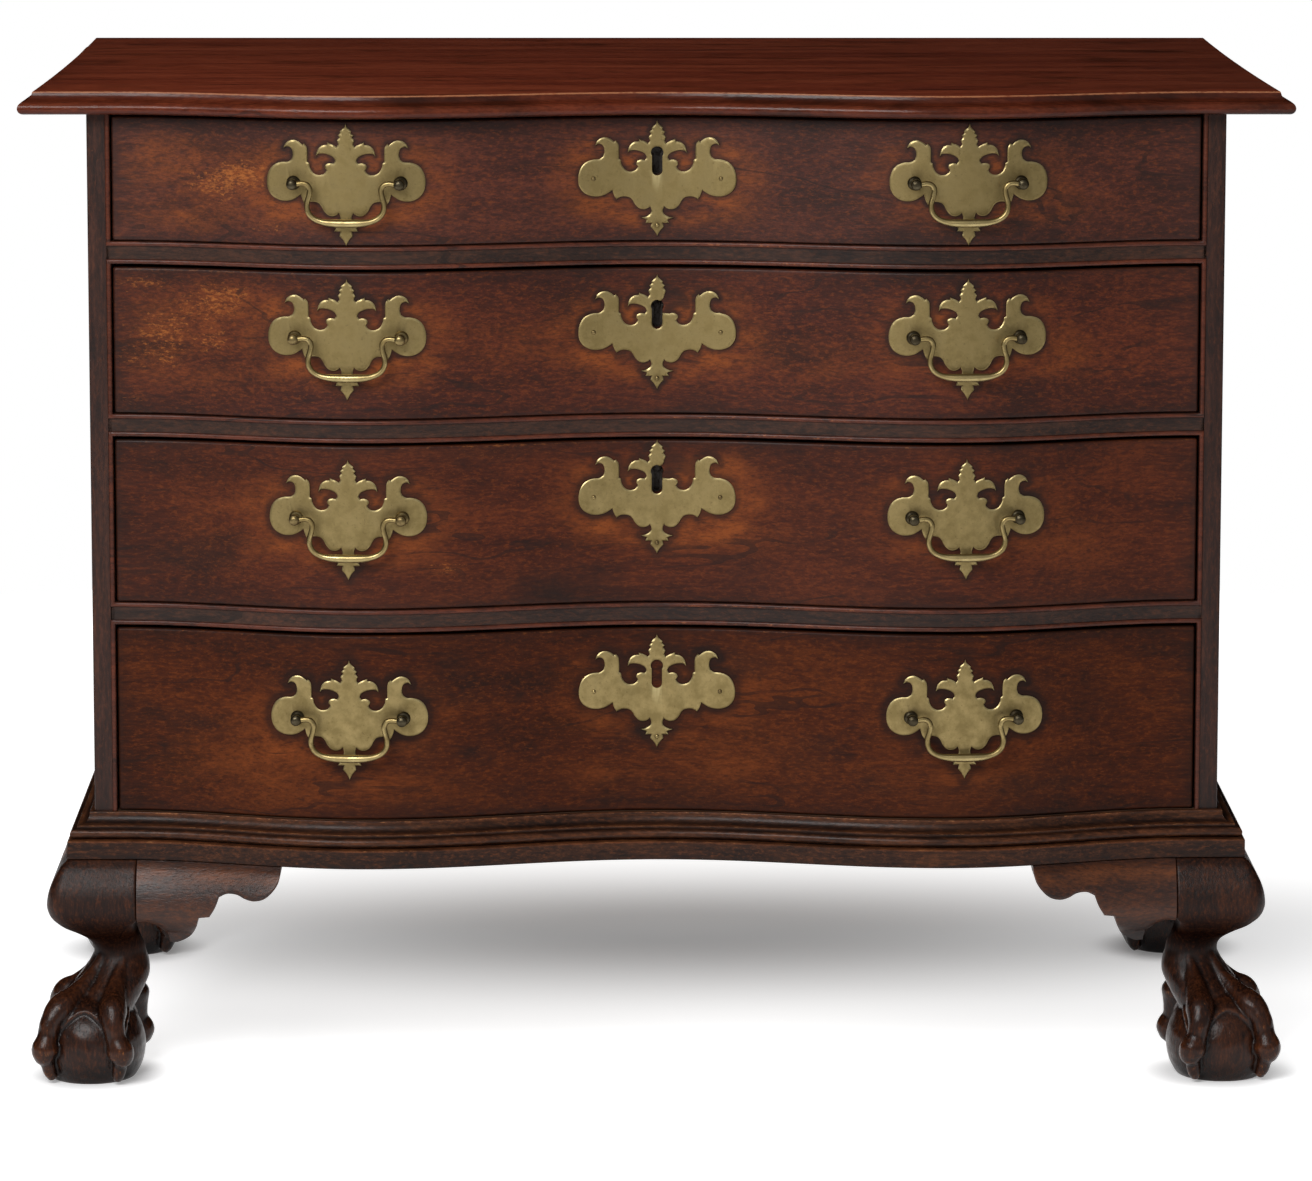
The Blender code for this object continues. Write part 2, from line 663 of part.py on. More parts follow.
def build_drawer(index, woods, iron):
    """One drawer: its front, dovetailed box, floor, and where it has one its lock; all hung on one empty."""
    show, plain = woods
    number = index + 1
    low = OPENING_Z[index] + SEAT
    tall = OPENING_HEIGHTS[index] - SEAT - DRAWER_TOP_GAP
    half = INNER - DRAWER_SIDE_GAP
    xs = stations_between(-half, half)
    outline = list(zip(xs, front_line(xs))) + list(zip(xs[::-1], front_line(xs[::-1]) + FRONT_THICKNESS))
    front = prism(f"drawer_{number}_front", outline, 2, low, low + tall, show)

    box_tall = tall - BOX_DROP
    joint = FRONT_Y + FRONT_THICKNESS
    start = joint + SEAT
    end = BACK_Y - BACK_THICKNESS - DRAWER_REAR_GAP
    floor_low = low + FLOOR_LIFT
    floor_high = floor_low + FLOOR_THICKNESS
    inside = half - BOX_THICKNESS
    shell = box(f"drawer_{number}_box", (-half, end - BOX_THICKNESS, floor_high + SEAT),
                (half, end, low + box_tall), plain)
    sockets = []
    for sign in (-1, 1):
        reach = sorted((sign * inside, sign * half))
        board = box("side", (reach[0], start, low), (reach[1], end - BOX_THICKNESS / 2, low + box_tall))
        combine(shell, board, "UNION")
        tails = []
        for shape in tail_outline(box_tall, 0.0, TAIL_LENGTH):
            tails.append(prism("tail", [(start + y, low + z) for y, z in shape], 0, reach[0], reach[1]))
        combine(shell, joined("tails", tails), "UNION")
        reach = sorted((sign * (inside - SEAT), sign * (half + OVERCUT)))
        for shape in tail_outline(box_tall, SEAT, TAIL_LENGTH):
            sockets.append(prism("socket", [(start + y, low + z) for y, z in shape], 0, reach[0], reach[1]))
    combine(front, joined("sockets", sockets), "DIFFERENCE")

    wide = inside + FLOOR_GROOVE
    slot_low = floor_low - SEAT
    slot_high = floor_high + SEAT
    for sign in (-1, 1):
        reach = sorted((sign * (inside - OVERCUT), sign * (wide + SEAT)))
        groove = box("groove", (reach[0], start - SEAT, slot_low), (reach[1], end + OVERCUT, slot_high))
        combine(shell, groove, "DIFFERENCE")
    shell_xs = stations_between(-inside + SEAT, inside - SEAT)
    outline = [(-wide, start), (-inside + SEAT, start)]
    outline += list(zip(shell_xs[1:-1], front_line(shell_xs[1:-1]) + FRONT_THICKNESS + SEAT))
    outline += [(inside - SEAT, start), (wide, start), (wide, end), (-wide, end)]
    floor = prism(f"drawer_{number}_floor", outline, 2, floor_low, floor_high, plain)

    pieces = [front, shell, floor]
    lift = low + PLATE_HEIGHTS[index]
    for side in (-1, 1):
        holes = shanks(side, SHANK_RADIUS + SEAT)
        for hole in holes:
            hole.data.transform(Matrix.Translation((0.0, 0.0, low + PULL_HEIGHTS[index])))
        combine(front, joined("holes", holes), "DIFFERENCE")
    if index < OPENING_COUNT - 1:
        pieces += build_lock(number, front, low + tall, lift, iron)
    slide = empty(f"drawer_{number}_slide", (0.0, FRONT_Y, low))
    for piece in pieces:
        attach(piece, slide)
    return slide


def build_lock(number, front, top, lift, iron):
    """A lock let into the back of a drawer front, its keyhole through the front, and its sliding bolt."""
    inner = float(front_line(0.0)) + FRONT_THICKNESS
    outer = inner - LOCK_THICKNESS
    half = LOCK_WIDTH / 2
    recess = box("recess", (-half - SEAT, outer - SEAT, top - LOCK_HEIGHT - SEAT),
                 (half + SEAT, inner + OVERCUT, top + OVERCUT))
    combine(front, recess, "DIFFERENCE")
    key_end = outer + KEY_REACH
    combine(front, prism("key", keyhole(lift), 1, outer - FRONT_THICKNESS, key_end), "DIFFERENCE")
    lock = box(f"drawer_{number}_lock", (-half, outer, top - LOCK_HEIGHT), (half, inner, top), iron)
    middle = (inner + outer) / 2
    wide = BOLT_WIDTH / 2
    thick = BOLT_THICKNESS / 2
    slot = box("slot", (-wide - SEAT, middle - thick - SEAT, top - BOLT_HEIGHT - SEAT),
               (wide + SEAT, middle + thick + SEAT, top + OVERCUT))
    combine(lock, slot, "DIFFERENCE")
    combine(lock, prism("key", keyhole(lift), 1, outer - OVERCUT, key_end), "DIFFERENCE")
    bolt = box(f"drawer_{number}_bolt", (-wide, middle - thick, top - BOLT_HEIGHT),
               (wide, middle + thick, top), iron)
    return [lock, bolt]


def cut_strike(piece, underside):
    """The mortise that a lock bolt rises into."""
    middle = float(front_line(0.0)) + FRONT_THICKNESS - LOCK_THICKNESS / 2
    wide = BOLT_WIDTH / 2 + STRIKE_PLAY
    thick = BOLT_THICKNESS / 2 + STRIKE_PLAY
    mortise = box("mortise", (-wide, middle - thick, underside - OVERCUT),
                  (wide, middle + thick, underside + BOLT_THROW + STRIKE_PLAY))
    combine(piece, mortise, "DIFFERENCE")


def copy_up(source, name, height, parent):
    """A copy of a piece drawn at post height zero, raised to its height and hung on an empty."""
    made = bpy.data.objects.new(name, source.data)
    made.location = (0.0, 0.0, height)
    bpy.context.collection.objects.link(made)
    attach(made, parent)
    return made


def build():
    for old in list(bpy.data.objects):
        bpy.data.objects.remove(old)
    show = material("mahogany", (0.115, 0.040, 0.018), 0.38)
    plain = material("white_pine", (0.420, 0.270, 0.130), 0.62)
    brass = material("brass", (0.480, 0.330, 0.110), 0.34, 1.0)
    iron = material("wrought_iron", (0.110, 0.105, 0.100), 0.55, 1.0)

    top = build_top(show)
    cut_strike(top, TOP_Z)
    build_side("case_side_left", -1, show)
    build_side("case_side_right", 1, show)
    build_bottom(plain)
    build_back(plain)
    for index in range(OPENING_COUNT - 1):
        blade = build_blade(index, show)
        if index + 1 < OPENING_COUNT - 1:
            cut_strike(blade, OPENING_Z[index] - BLADE_THICKNESS)
    build_base(show)
    for hand, side in (("left", -1), ("right", 1)):
        for end in ("front", "rear"):
            build_leg(f"leg_{end}_{hand}", side, end, show)
            build_bracket(f"knee_bracket_{end}_{hand}_side", side, end, False, show)
        build_bracket(f"knee_bracket_front_{hand}", side, "front", True, show)

    pulls = {side: build_pull(side, brass) for side in (-1, 1)}
    bails = {side: build_bail(side, brass) for side in (-1, 1)}
    escutcheon = build_escutcheon(brass)
    for index in range(OPENING_COUNT):
        number = index + 1
        slide = build_drawer(index, (show, plain), iron)
        foot = OPENING_Z[index] + SEAT
        for hand, side in (("left", -1), ("right", 1)):
            height = foot + PULL_HEIGHTS[index]
            copy_up(pulls[side], f"drawer_{number}_pull_plate_{hand}", height, slide)
            first, second = pull_axis(side)
            hinge = empty(f"drawer_{number}_bail_hinge_{hand}", (first + second) / 2 + Vector((0, 0, height)))
            attach(hinge, slide)
            copy_up(bails[side], f"drawer_{number}_bail_{hand}", height, hinge)
        copy_up(escutcheon, f"drawer_{number}_escutcheon", foot + PLATE_HEIGHTS[index], slide)
    for source in (*pulls.values(), *bails.values(), escutcheon):
        bpy.data.objects.remove(source)


build()
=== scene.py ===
"""Looks of a chest of four graduated drawers with an oxbow front, on claw-and-ball feet.

Lengths are in metres, up is +Z and the front looks along -Y, as in the CAD model that it dresses.
"""
import json
import math
from functools import partial

import bmesh
import bpy
import numpy as np
from mathutils import Matrix, Vector

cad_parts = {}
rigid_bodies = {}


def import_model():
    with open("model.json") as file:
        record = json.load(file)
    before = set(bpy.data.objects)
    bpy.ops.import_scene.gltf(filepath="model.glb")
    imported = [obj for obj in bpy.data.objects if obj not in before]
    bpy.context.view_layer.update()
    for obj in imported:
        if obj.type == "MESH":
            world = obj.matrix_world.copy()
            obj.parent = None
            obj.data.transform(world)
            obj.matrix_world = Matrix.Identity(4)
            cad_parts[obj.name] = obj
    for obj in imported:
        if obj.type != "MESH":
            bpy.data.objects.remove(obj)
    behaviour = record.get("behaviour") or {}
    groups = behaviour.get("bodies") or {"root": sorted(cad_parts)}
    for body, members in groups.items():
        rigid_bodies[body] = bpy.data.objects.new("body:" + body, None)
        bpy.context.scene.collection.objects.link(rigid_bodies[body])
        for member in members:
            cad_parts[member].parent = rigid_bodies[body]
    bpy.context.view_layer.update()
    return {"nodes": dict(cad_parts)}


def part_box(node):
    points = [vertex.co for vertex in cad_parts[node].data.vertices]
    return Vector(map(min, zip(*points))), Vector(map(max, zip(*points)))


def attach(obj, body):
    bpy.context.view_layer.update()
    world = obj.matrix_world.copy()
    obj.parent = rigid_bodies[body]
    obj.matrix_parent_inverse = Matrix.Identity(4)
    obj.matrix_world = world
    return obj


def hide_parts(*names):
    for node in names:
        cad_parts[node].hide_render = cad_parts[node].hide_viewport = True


for left_over in list(bpy.data.objects):
    bpy.data.objects.remove(left_over)
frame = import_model()


def span(name):
    """The lowest and the highest z of a CAD node."""
    low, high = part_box(name)
    return low.z, high.z


# Case and front, as in the CAD model
SEAT = 0.0003
BEAD_WIDTH = 0.0040
BEAD_RISE = 0.0017
BEAD_ROOT = 0.0008
CREST_SWELL = 0.040
CENTRE_SWELL = 0.004
CREST_X = 0.233
SIDE_GAP = 0.0010
FRONT_THICKNESS = 0.024
BLADE_DEPTH = 0.080
BACK_THICKNESS = 0.012
BACK_REBATE = 0.009
RUNNER_WIDTH = 0.026
TOP_OVERHANG = 0.022
TOP_NOSE = 0.0100
TOP_FILLET = 0.0028
TOP_FLARE = 0.0110
BASE_PROJECTION = 0.021
BASE_FASCIA = 0.0150
BASE_TOP_STEP = 0.004
BASE_COVE = 0.0095
BASE_FILLET = 0.0020
BASE_QUIRK = 0.0010
side_low, side_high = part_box("case_side_right")
top_low, top_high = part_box("top_board")
base_low, base_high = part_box("base_moulding_front")
HALF, BACK_Y = side_high.x, side_high.y
DRAWER_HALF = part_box("drawer_1_front")[1].x
INNER = DRAWER_HALF + SIDE_GAP
FACE = base_high.x
FRONT_Y = base_high.y + SEAT
TOP_FRONT = FRONT_Y - TOP_OVERHANG
TOP_THICK = top_high.z - top_low.z
BLADES = [span(f"drawer_blade_{n}") for n in (1, 2, 3)]
FRONTS = [span(f"drawer_{n}_front") for n in (1, 2, 3, 4)]
OPENINGS = list(zip([high for _, high in BLADES] + [base_high.z], [top_low.z] + [low for low, _ in BLADES]))
SIDES = (("left", -1), ("right", 1))

# Softened edges and small gaps
ARRIS = 0.0004
BLADE_ARRIS = 0.0005
BASE_ARRIS = 0.0006
FRONT_ARRIS = 0.0006
BACK_ARRIS = 0.0010
BASE_LIP = 0.0010
BASE_COVE_DROP = 0.0018
BASE_QUIRK_DEPTH = 0.0016
CASE_CORNER = 0.0016
FRONT_CORNER = 0.0022
RUNNER_GAP = 0.0001
TOP_ARRIS = 0.0012
# The upper arris of the top, from the hollow of its edge: (in, down)
TOP_ARRIS_LINE = ((0, 0.0010), (0.0004, 0.0003), (0.0011, 0))

# Steps of a drawer front: coarse, and fine behind the brasses, across and up
FRONT_STEP, FINE_ACROSS, FINE_UP = 0.004, 0.0013, 0.0014
# How far the fine steps reach from the middle of a brass
FINE_ASIDE, FINE_BELOW, FINE_ABOVE = 0.078, 0.060, 0.058
# How a drawer front draws in at its ends: the share that its height takes, the depth over which it dies out
END_SHARE, END_DEPTH = 0.8, 0.004

# Brasses
PULL_X = 0.247
PULL_HEIGHTS = (0.0503, 0.0660, 0.0742, 0.0830)
PLATE_HEIGHTS = (0.0497, 0.0656, 0.0852, 0.0978)
PLATE_THICKNESS = 0.0016
PLATE_EDGE = 0.0010
PLATE_BEVEL = 0.0008
PLATE_ROLL = 0.0019
ESCUTCHEON_DROP = 0.0455
POST_SPACING = 0.085
POST_REACH = 0.0130
SHANK_RADIUS = 0.0022
BAIL_PIN = 0.0015
BOLT_THROW = 0.008
STRIKE_PLAY = 0.0015
BAIL_ARM = 0.0022
BAIL_GRIP = 0.0033
KEYHOLE_RADIUS = 0.0050
KEYHOLE_SLOT = 0.0042
KEYHOLE_TOP = 0.0216
KEYHOLE_FOOT = 0.0074
PULL_DROP = 0.050
PIN_PLACES = ((-0.0508, 0.001), (0.0508, 0.001), (0.0, -0.0365))
NUT = 0.0045
NUT_GAP = 0.0003
SHANK_END = 0.0058
PIN_RISE, PIN_RADIUS = 0.0012, 0.0018
PLATE_DISH = 0.0001
STRIP, LAST_STRIP = 0.004, 0.060
# Where a bail's arm grows from its pin, over what length, and the half length and the top of its grip
ARM_X, ARM_EASE, GRIP_X, GRIP_TOP = 0.0425, 0.004, 0.0165, -0.02
# Half outline of a brass plate in mm from the post line, as (across, up, 1 at a point or a cusp)
PLATE_HALF = (
    (0, 47.4, 1), (1.2, 44.4, 0), (4.6, 41.4, 1), (4.0, 39.9, 1), (6.4, 38.1, 1), (4.8, 36.4, 1),
    (7.1, 33.8, 1), (5.8, 31.2, 0), (7.2, 28.7, 1), (9.4, 30.2, 0), (14.5, 32.4, 1), (14.8, 30.4, 1),
    (18.1, 30.1, 0), (21.2, 28.0, 0), (23.0, 24.6, 0), (23.6, 21.4, 1), (21.6, 23.1, 0), (18.1, 23.6, 0),
    (13.5, 22.6, 0), (9.8, 20.6, 0), (8.4, 17.8, 0), (9.8, 15.4, 1), (13.0, 15.9, 0), (15.9, 14.7, 0),
    (16.6, 12.6, 0), (15.2, 10.4, 1), (16.3, 8.4, 0), (18.8, 6.7, 0), (22.7, 6.5, 0), (26.3, 8.5, 0),
    (28.6, 12.6, 0), (29.0, 15.4, 0), (30.6, 16.6, 1), (30.5, 21.8, 0), (30.9, 28.0, 0), (33.0, 31.4, 1),
    (34.4, 30.3, 1), (37.1, 32.4, 0), (40.7, 33.9, 0), (44.7, 33.4, 0), (48.0, 30.9, 0), (49.6, 27.4, 1),
    (47.0, 28.7, 0), (44.2, 28.2, 0), (42.5, 25.9, 0), (42.1, 21.8, 0), (43.2, 18.4, 1), (46.3, 16.5, 0),
    (51.1, 16.2, 0), (56.4, 14.4, 0), (60.2, 10.8, 0), (62.4, 5.6, 0), (63.0, 0.0, 0), (62.0, -5.8, 0),
    (58.8, -10.8, 0), (53.5, -13.9, 0), (47.8, -14.6, 0), (42.7, -13.5, 0), (39.1, -11.5, 0), (35.8, -9.2, 1),
    (34.5, -13.5, 0), (32.6, -17.5, 1), (29.4, -15.3, 0), (25.4, -14.9, 0), (21.8, -15.9, 0),
    (19.5, -18.4, 0), (17.5, -22.2, 0), (14.4, -25.4, 0), (10.6, -26.3, 0), (7.4, -25.2, 0), (5.6, -23.6, 1),
    (4.5, -26.8, 0), (4.9, -29.6, 0), (7.0, -31.8, 0), (10.0, -33.1, 0), (13.2, -33.4, 1), (8.3, -35.6, 1),
    (9.4, -38.4, 1), (4.4, -38.3, 1), (5.3, -42.0, 1), (2.4, -45.0, 0), (0, -50, 1),
)
# The same half without its side leaf, where the break has opened the keyhole
BROKEN_HALF = PLATE_HALF[:8] + (
    (5.6, 29.4, 1), (4.4, 27.4, 1), (2.5, 25.9, 0), (0, 26.6, 0), (-2.5, 25.9, 0), (-4.3, 24.1, 0),
    (-5.0, 21.6, 0), (-4.2, 18.9, 1), (-4.2, 13.0, 0), (-4.2, 7.4, 0), (-3.6, 5.3, 0), (-2.1, 3.8, 0),
    (0, 3.2, 0), (2.1, 3.8, 0), (3.6, 5.3, 0), (4.2, 7.4, 0), (4.2, 12.0, 0), (4.2, 16.2, 1),
) + PLATE_HALF[21:]
# Half path of a bail in mm, from its pin in the post to the middle of the grip
BAIL_HALF = (
    (43.2, 0), (38.7, 0.3), (34.2, 0.8), (30.4, -0.4), (28.3, -4.0), (29.0, -9.2), (30.6, -15.2),
    (30.2, -20.6), (27.6, -25.2), (22.4, -28.6), (14.2, -30.5), (0, -31),
)
# A post from its button to its foot, in mm: (distance behind the head's middle, radius)
POST = (
    (-5.0, 0.02), (-4.9, 1.5), (-4.6, 2.6), (-4.1, 3.2), (-3.5, 3.3), (-3.2, 2.8), (-3.0, 3.4), (-2.2, 4.2),
    (0, 4.5), (1.8, 4.2), (2.8, 3.6), (3.4, 2.9), (4.4, 2.6), (8.6, 2.6), (9.6, 3.0), (10.4, 4.2),
    (11.2, 5.2), (12.2, 5.6), (13.0, 5.7),
)

# Legs, in mm: (drop below the base moulding, outer face out from it, inner face in from it, radius of the
# outer corner, radius of the other three)
LEG_LEVELS = (
    (0.3, 0, 56, 4, 1), (6, 5.6, 56, 6, 1), (13, 9.8, 56, 8, 1), (19, 12.9, 56, 10, 1), (26, 15.3, 56, 12, 1),
    (32, 16.5, 56, 14, 1), (38.5, 16.9, 56, 16, 1), (45, 15.3, 56, 17, 1.2), (49, 13.3, 55.6, 18, 2.5),
    (52, 11.2, 52.6, 19, 5), (58, 5.0, 52, 19, 9), (64, -4, 53, 19, 13), (71, -12.6, 56, 20, 18),
    (77, -16.9, 59, 21, 21), (83.5, -17.7, 60, 21, 21), (90, -14.6, 62, 23, 23), (96, -10.5, 63, 25, 25),
    (103, -5.0, 62.5, 28, 28), (110, 1, 59.5, 30, 30), (118, 7, 55.5, 31, 31), (126, 11, 51, 31, 31),
)
KNEE_BLOCK = 0.056
FOOT_CENTRE = 0.017
ANKLE_CENTRE = 0.0389
BALL_RADIUS = 0.0434
BALL_HEIGHT = 0.0265
WEB_RISE = 0.0026
REAR_LEG_SET = 0.026
OUTWARD = 225
# A talon from the ankle to its nail, in mm: (height, out from the axis, share of the ankle's set-back, half
# width)
TALON_PATH = (
    (114, 10, 1.0, 3.6), (98, 14.5, 0.95, 5.2), (83, 20.5, 0.72, 6.4), (70, 29.5, 0.45, 8.6),
    (61, 38.6, 0.2, 11.6), (50.5, 45.0, 0.05, 9.2), (39.5, 47.6, 0, 8.4), (30, 50.4, 0, 11.0),
    (23.5, 50.2, 0, 9.4), (18.5, 48.2, 0, 6.0), (10, 45.4, 0, 5.2), (4, 42, 0, 3.6),
)
# Angles of each talon from the outward one, in degrees: (at the ankle, on the ball)
TALON_TURNS = ((0, 0), (64, 77), (180, 180), (272, 262))
REAR_TALON = 1.12
# Height in mm below which a talon turns from its upper to its lower angle, and over what height
TURN_FROM, TURN_OVER = 75, 50
# Lip of the web, in degrees from the top: at the crown of its arch, its fall to a talon, and the power of
# that
LIP_CROWN, LIP_FALL, LIP_POWER = 44, 40, 1.9
VOXEL = 0.0011
# Waves of the gouge on a foot: (radians per metre in x, y and z, start)
GOUGE = (((520, 310, 240), 1.0), ((-330, 560, -260), 2.0), ((210, -280, 760), 0.0))
GOUGE_DEPTH = 0.00005
GOUGE_TOP, GOUGE_FADE, GOUGE_FOOT = 0.115, 0.02, 0.004
# Lower edge of a knee bracket in mm: (distance from the leg, drop below the base moulding, 1 at a cusp)
BRACKET_EDGE = (
    (0, 49, 1), (8, 48.6, 0), (17.7, 52.8, 0), (24, 59.6, 0), (26.3, 65.9, 1), (33.7, 65.6, 0), (43.4, 60, 0),
    (48.4, 51.4, 0), (50.6, 43, 1), (59.4, 41.6, 1), (64.3, 33.3, 0), (67.5, 24.9, 1), (73.9, 22, 0),
    (81.9, 22.3, 0), (88.6, 25.2, 0), (95.6, 26.5, 0), (103.6, 24.6, 0), (110, 19.5, 0), (114.9, 12.9, 0),
    (116.9, 6.4, 0), (117.5, 0.6, 1),
)
BRACKET_THICKNESS = 0.034
BRACKET_ARRIS = 0.0012
# Below this drop a bracket's face stands out at least so far
BRACKET_FROM, BRACKET_LEAST = 0.04, 0.005

# Marks of each drawer front: (x and half width in mm, share of the height, half height in mm, flecks, fading,
# dirt)
MARKS = (
    ((-352, 30, 0.47, 18, 0.47, 0.5, 0), (-371, 36, 0.18, 13, 0.25, 1.0, 0),
     (-395, 32, 0.70, 20, 0.2, 0.9, 0), (-322, 26, 0.58, 20, 0.40, 0.6, 0),
     (-204, 18, 0.27, 12, 0.24, 0.7, 0), (-313, 26, 0.14, 8, 0.38, 0.2, 0),
     (-425, 16, 0.5, 26, 0.1, 0.35, 0), (-95, 40, 0.3, 14, 0, 0, 0.3), (130, 45, 0.5, 40, 0.1, 0, 0.25),
     (330, 30, 0.3, 12, 0.19, 0.4, 0), (60, 30, 0.2, 12, 0, 0.3, 0), (410, 22, 0.55, 26, 0.1, 0, 0.3)),
    ((-347, 32, 0.80, 20, 0.54, 0.95, 0), (-411, 26, 0.90, 10, 0.47, 0.4, 0),
     (-398, 38, 0.55, 28, 0.47, 0.55, 0), (-424, 14, 0.36, 7, 0.24, 0.1, 0), (-390, 9, 0.36, 6, 0.2, 0.1, 0),
     (-420, 14, 0.1, 6, 0.43, 0.1, 0), (-352, 14, 0.5, 11, 0.38, 0.2, 0),
     (-203, 20, 0.33, 12, 0.14, 0.75, 0), (-316, 12, 0.48, 14, 0, 0, 0.7),
     (-360, 50, 0.25, 18, 0.19, 0.3, 0), (-110, 40, 0.5, 24, 0, 0.3, 0), (120, 50, 0.35, 20, 0.1, 0.35, 0),
     (150, 25, 0.8, 14, 0, 0, 0.5), (330, 25, 0.4, 18, 0.19, 0.45, 0), (400, 30, 0.75, 20, 0, 0, 0.35)),
    ((-167, 20, 0.25, 9, 0.46, 0.3, 0), (-143, 9, 0.46, 4, 0.38, 0.1, 0), (-132, 40, 0.94, 7, 0.4, 0, 0.3),
     (55, 30, 0.75, 32, 0.05, 0.75, 0), (40, 60, 0.42, 14, 0, 0.55, 0), (-81, 36, 0.12, 16, 0, 0, 0.75),
     (72, 20, 0.2, 14, 0, 0, 0.55), (-350, 40, 0.5, 40, 0.24, 0.25, 0), (-205, 16, 0.35, 12, 0.1, 0.5, 0),
     (150, 45, 0.5, 45, 0.1, 0, 0.22), (340, 30, 0.35, 20, 0.1, 0.35, 0), (-400, 30, 0.3, 20, 0, 0, 0.4)),
    ((-165, 12, 0.86, 8, 0, 0, 0.85), (-90, 6, 0.8, 9, 0, 0, 0.8), (-112, 6, 0.65, 5, 0, 0, 0.75),
     (-151, 10, 0.36, 7, 0, 0, 0.75), (-128, 10, 0.5, 8, 0, 0, 0.6), (60, 60, 0.25, 30, 0.05, 0.45, 0),
     (-320, 60, 0.3, 40, 0.1, 0.5, 0), (-230, 60, 0.15, 14, 0.1, 0.5, 0), (250, 60, 0.18, 18, 0.1, 0.55, 0),
     (80, 30, 0.75, 20, 0, 0.15, 0), (350, 20, 0.6, 24, 0, 0, 0.5), (-40, 30, 0.2, 14, 0, 0.45, 0)),
)
# About the brasses of each drawer: (reach of the dirt and painted shadow, share of the thin varnish)
HALO = ((0.0022, 1.1), (0.0029, 1.0), (0.0039, 0.85), (0.0050, 0.4))
RIGHT_PULL_FADE = 0.5
# Thin varnish about a brass, in mm from its middle: (across on either side, up, half width, half height,
# fading)
BRASS_FADE = ((23, 15, 8, 11, 1.5), (49, -23, 22, 10, 1.1), (60, 23, 12, 9, 0.9), (22, -34, 12, 7, 0.8),
              (76, 0, 12, 18, 0.5))


# Shapes
def arc(start, stop, count):
    """Angles from start to stop degrees, in radians."""
    return np.radians(np.linspace(start, stop, count))


def circle(count):
    """Angles of a full turn, in radians."""
    return 2 * np.pi * np.arange(count) / count


def xyz(x, y, z):
    """Points from their coordinates, each spread to the shape of all three."""
    return np.stack(np.broadcast_arrays(x, y, z), -1)


def bell(value, middle, width):
    """1 where the value is at the middle, falling to 1/e a width away, as a Gaussian."""
    return np.exp(-((value - middle) / width) ** 2)


def held(value):
    """The value, held between 0 and 1."""
    return np.clip(value, 0, 1)


def swell(x):
    """How far the front stands out at x: a cosine from the hollow centre to a crest, another on to the
    stile."""
    away = np.abs(x)
    rise = CENTRE_SWELL + (CREST_SWELL - CENTRE_SWELL) * (1 - np.cos(np.pi * away / CREST_X)) / 2
    share = held((away - CREST_X) / (INNER - CREST_X))
    return np.where(away < CREST_X, rise, CREST_SWELL * (1 + np.cos(np.pi * share)) / 2)


def front_line(x):
    """The y of the oxbow front at x."""
    return FRONT_Y - swell(x)


def flowing(points, steps, cusped=False):
    """A line through points: a cubic between each two, whose slope at a point is that of its neighbours'
    chord. Cusped points have one number more, 1 at a cusp, where each side takes the slope of its own
    chord."""
    at = np.asarray(points, float)
    at, cusp = (at[:, :-1], at[:, -1:] > 0) if cusped else (at, False)
    chord = np.diff(at, axis=0)
    before = np.concatenate((chord[:1], chord))
    after = np.concatenate((chord, chord[-1:]))
    middle = (before + after) / 2
    leave = np.where(cusp, after, middle)[:-1, None]
    arrive = np.where(cusp, before, middle)[1:, None]
    t = (np.arange(steps) / steps)[None, :, None]
    line = (at[:-1, None] * (2 * t ** 3 - 3 * t ** 2 + 1) + leave * (t ** 3 - 2 * t ** 2 + t)
            + at[1:, None] * (3 * t ** 2 - 2 * t ** 3) + arrive * (t ** 3 - t ** 2))
    return np.concatenate((line.reshape(-1, at.shape[1]), at[-1:]))


def skin(rings, looped=False):
    """A closed surface: each ring of points is joined to the next, and the first and last are filled,
    or joined to each other where the path of the rings is looped."""
    rings = np.asarray(rings, float)
    index = np.arange(rings.size // 3).reshape(rings.shape[:2])
    here, there = (index, np.roll(index, -1, 0)) if looped else (index[:-1], index[1:])
    quads = np.stack((here, np.roll(here, -1, 1), np.roll(there, -1, 1), there), -1).reshape(-1, 4)
    return rings.reshape(-1, 3), quads, [] if looped else [index[0, ::-1], index[-1]]


def block(low, high, s):
    """A board with edges softened by s: four rings of an eight-sided outline, the end ones set in."""
    rings = []
    for z, inset in ((low[2], s), (low[2] + s, 0), (high[2] - s, 0), (high[2], s)):
        a, b, c, d = low[0] + inset, high[0] - inset, low[1] + inset, high[1] - inset
        x = (a + s, b - s, b, b, b - s, a + s, a, a)
        rings.append(xyz(x, (c, c, c + s, d - s, d, d, d - s, c + s), z))
    return skin(rings)


def rod(path, tangent, side, radius, sides):
    """A round rod: a circle of the given radius at each point of a path, square to its tangent."""
    tangent = tangent / np.linalg.norm(tangent, axis=1, keepdims=True)
    normal = np.cross(tangent, side)
    normal /= np.linalg.norm(normal, axis=1, keepdims=True)
    turn = circle(sides)[None, :, None]
    wheel = np.cos(turn) * normal[:, None] + np.sin(turn) * np.cross(tangent, normal)[:, None]
    return skin(path[:, None] + np.asarray(radius)[:, None, None] * wheel)


def turned(start, direction, profile, sides):
    """A turned piece: each (distance along a level direction, radius) of the profile is carried round it."""
    along, radius = np.asarray(profile, float).T
    tangent = np.tile(np.asarray(direction, float) / np.linalg.norm(direction), (len(along), 1))
    return rod(np.asarray(start, float) + along[:, None] * tangent, tangent, (0, 0, 1), radius, sides)


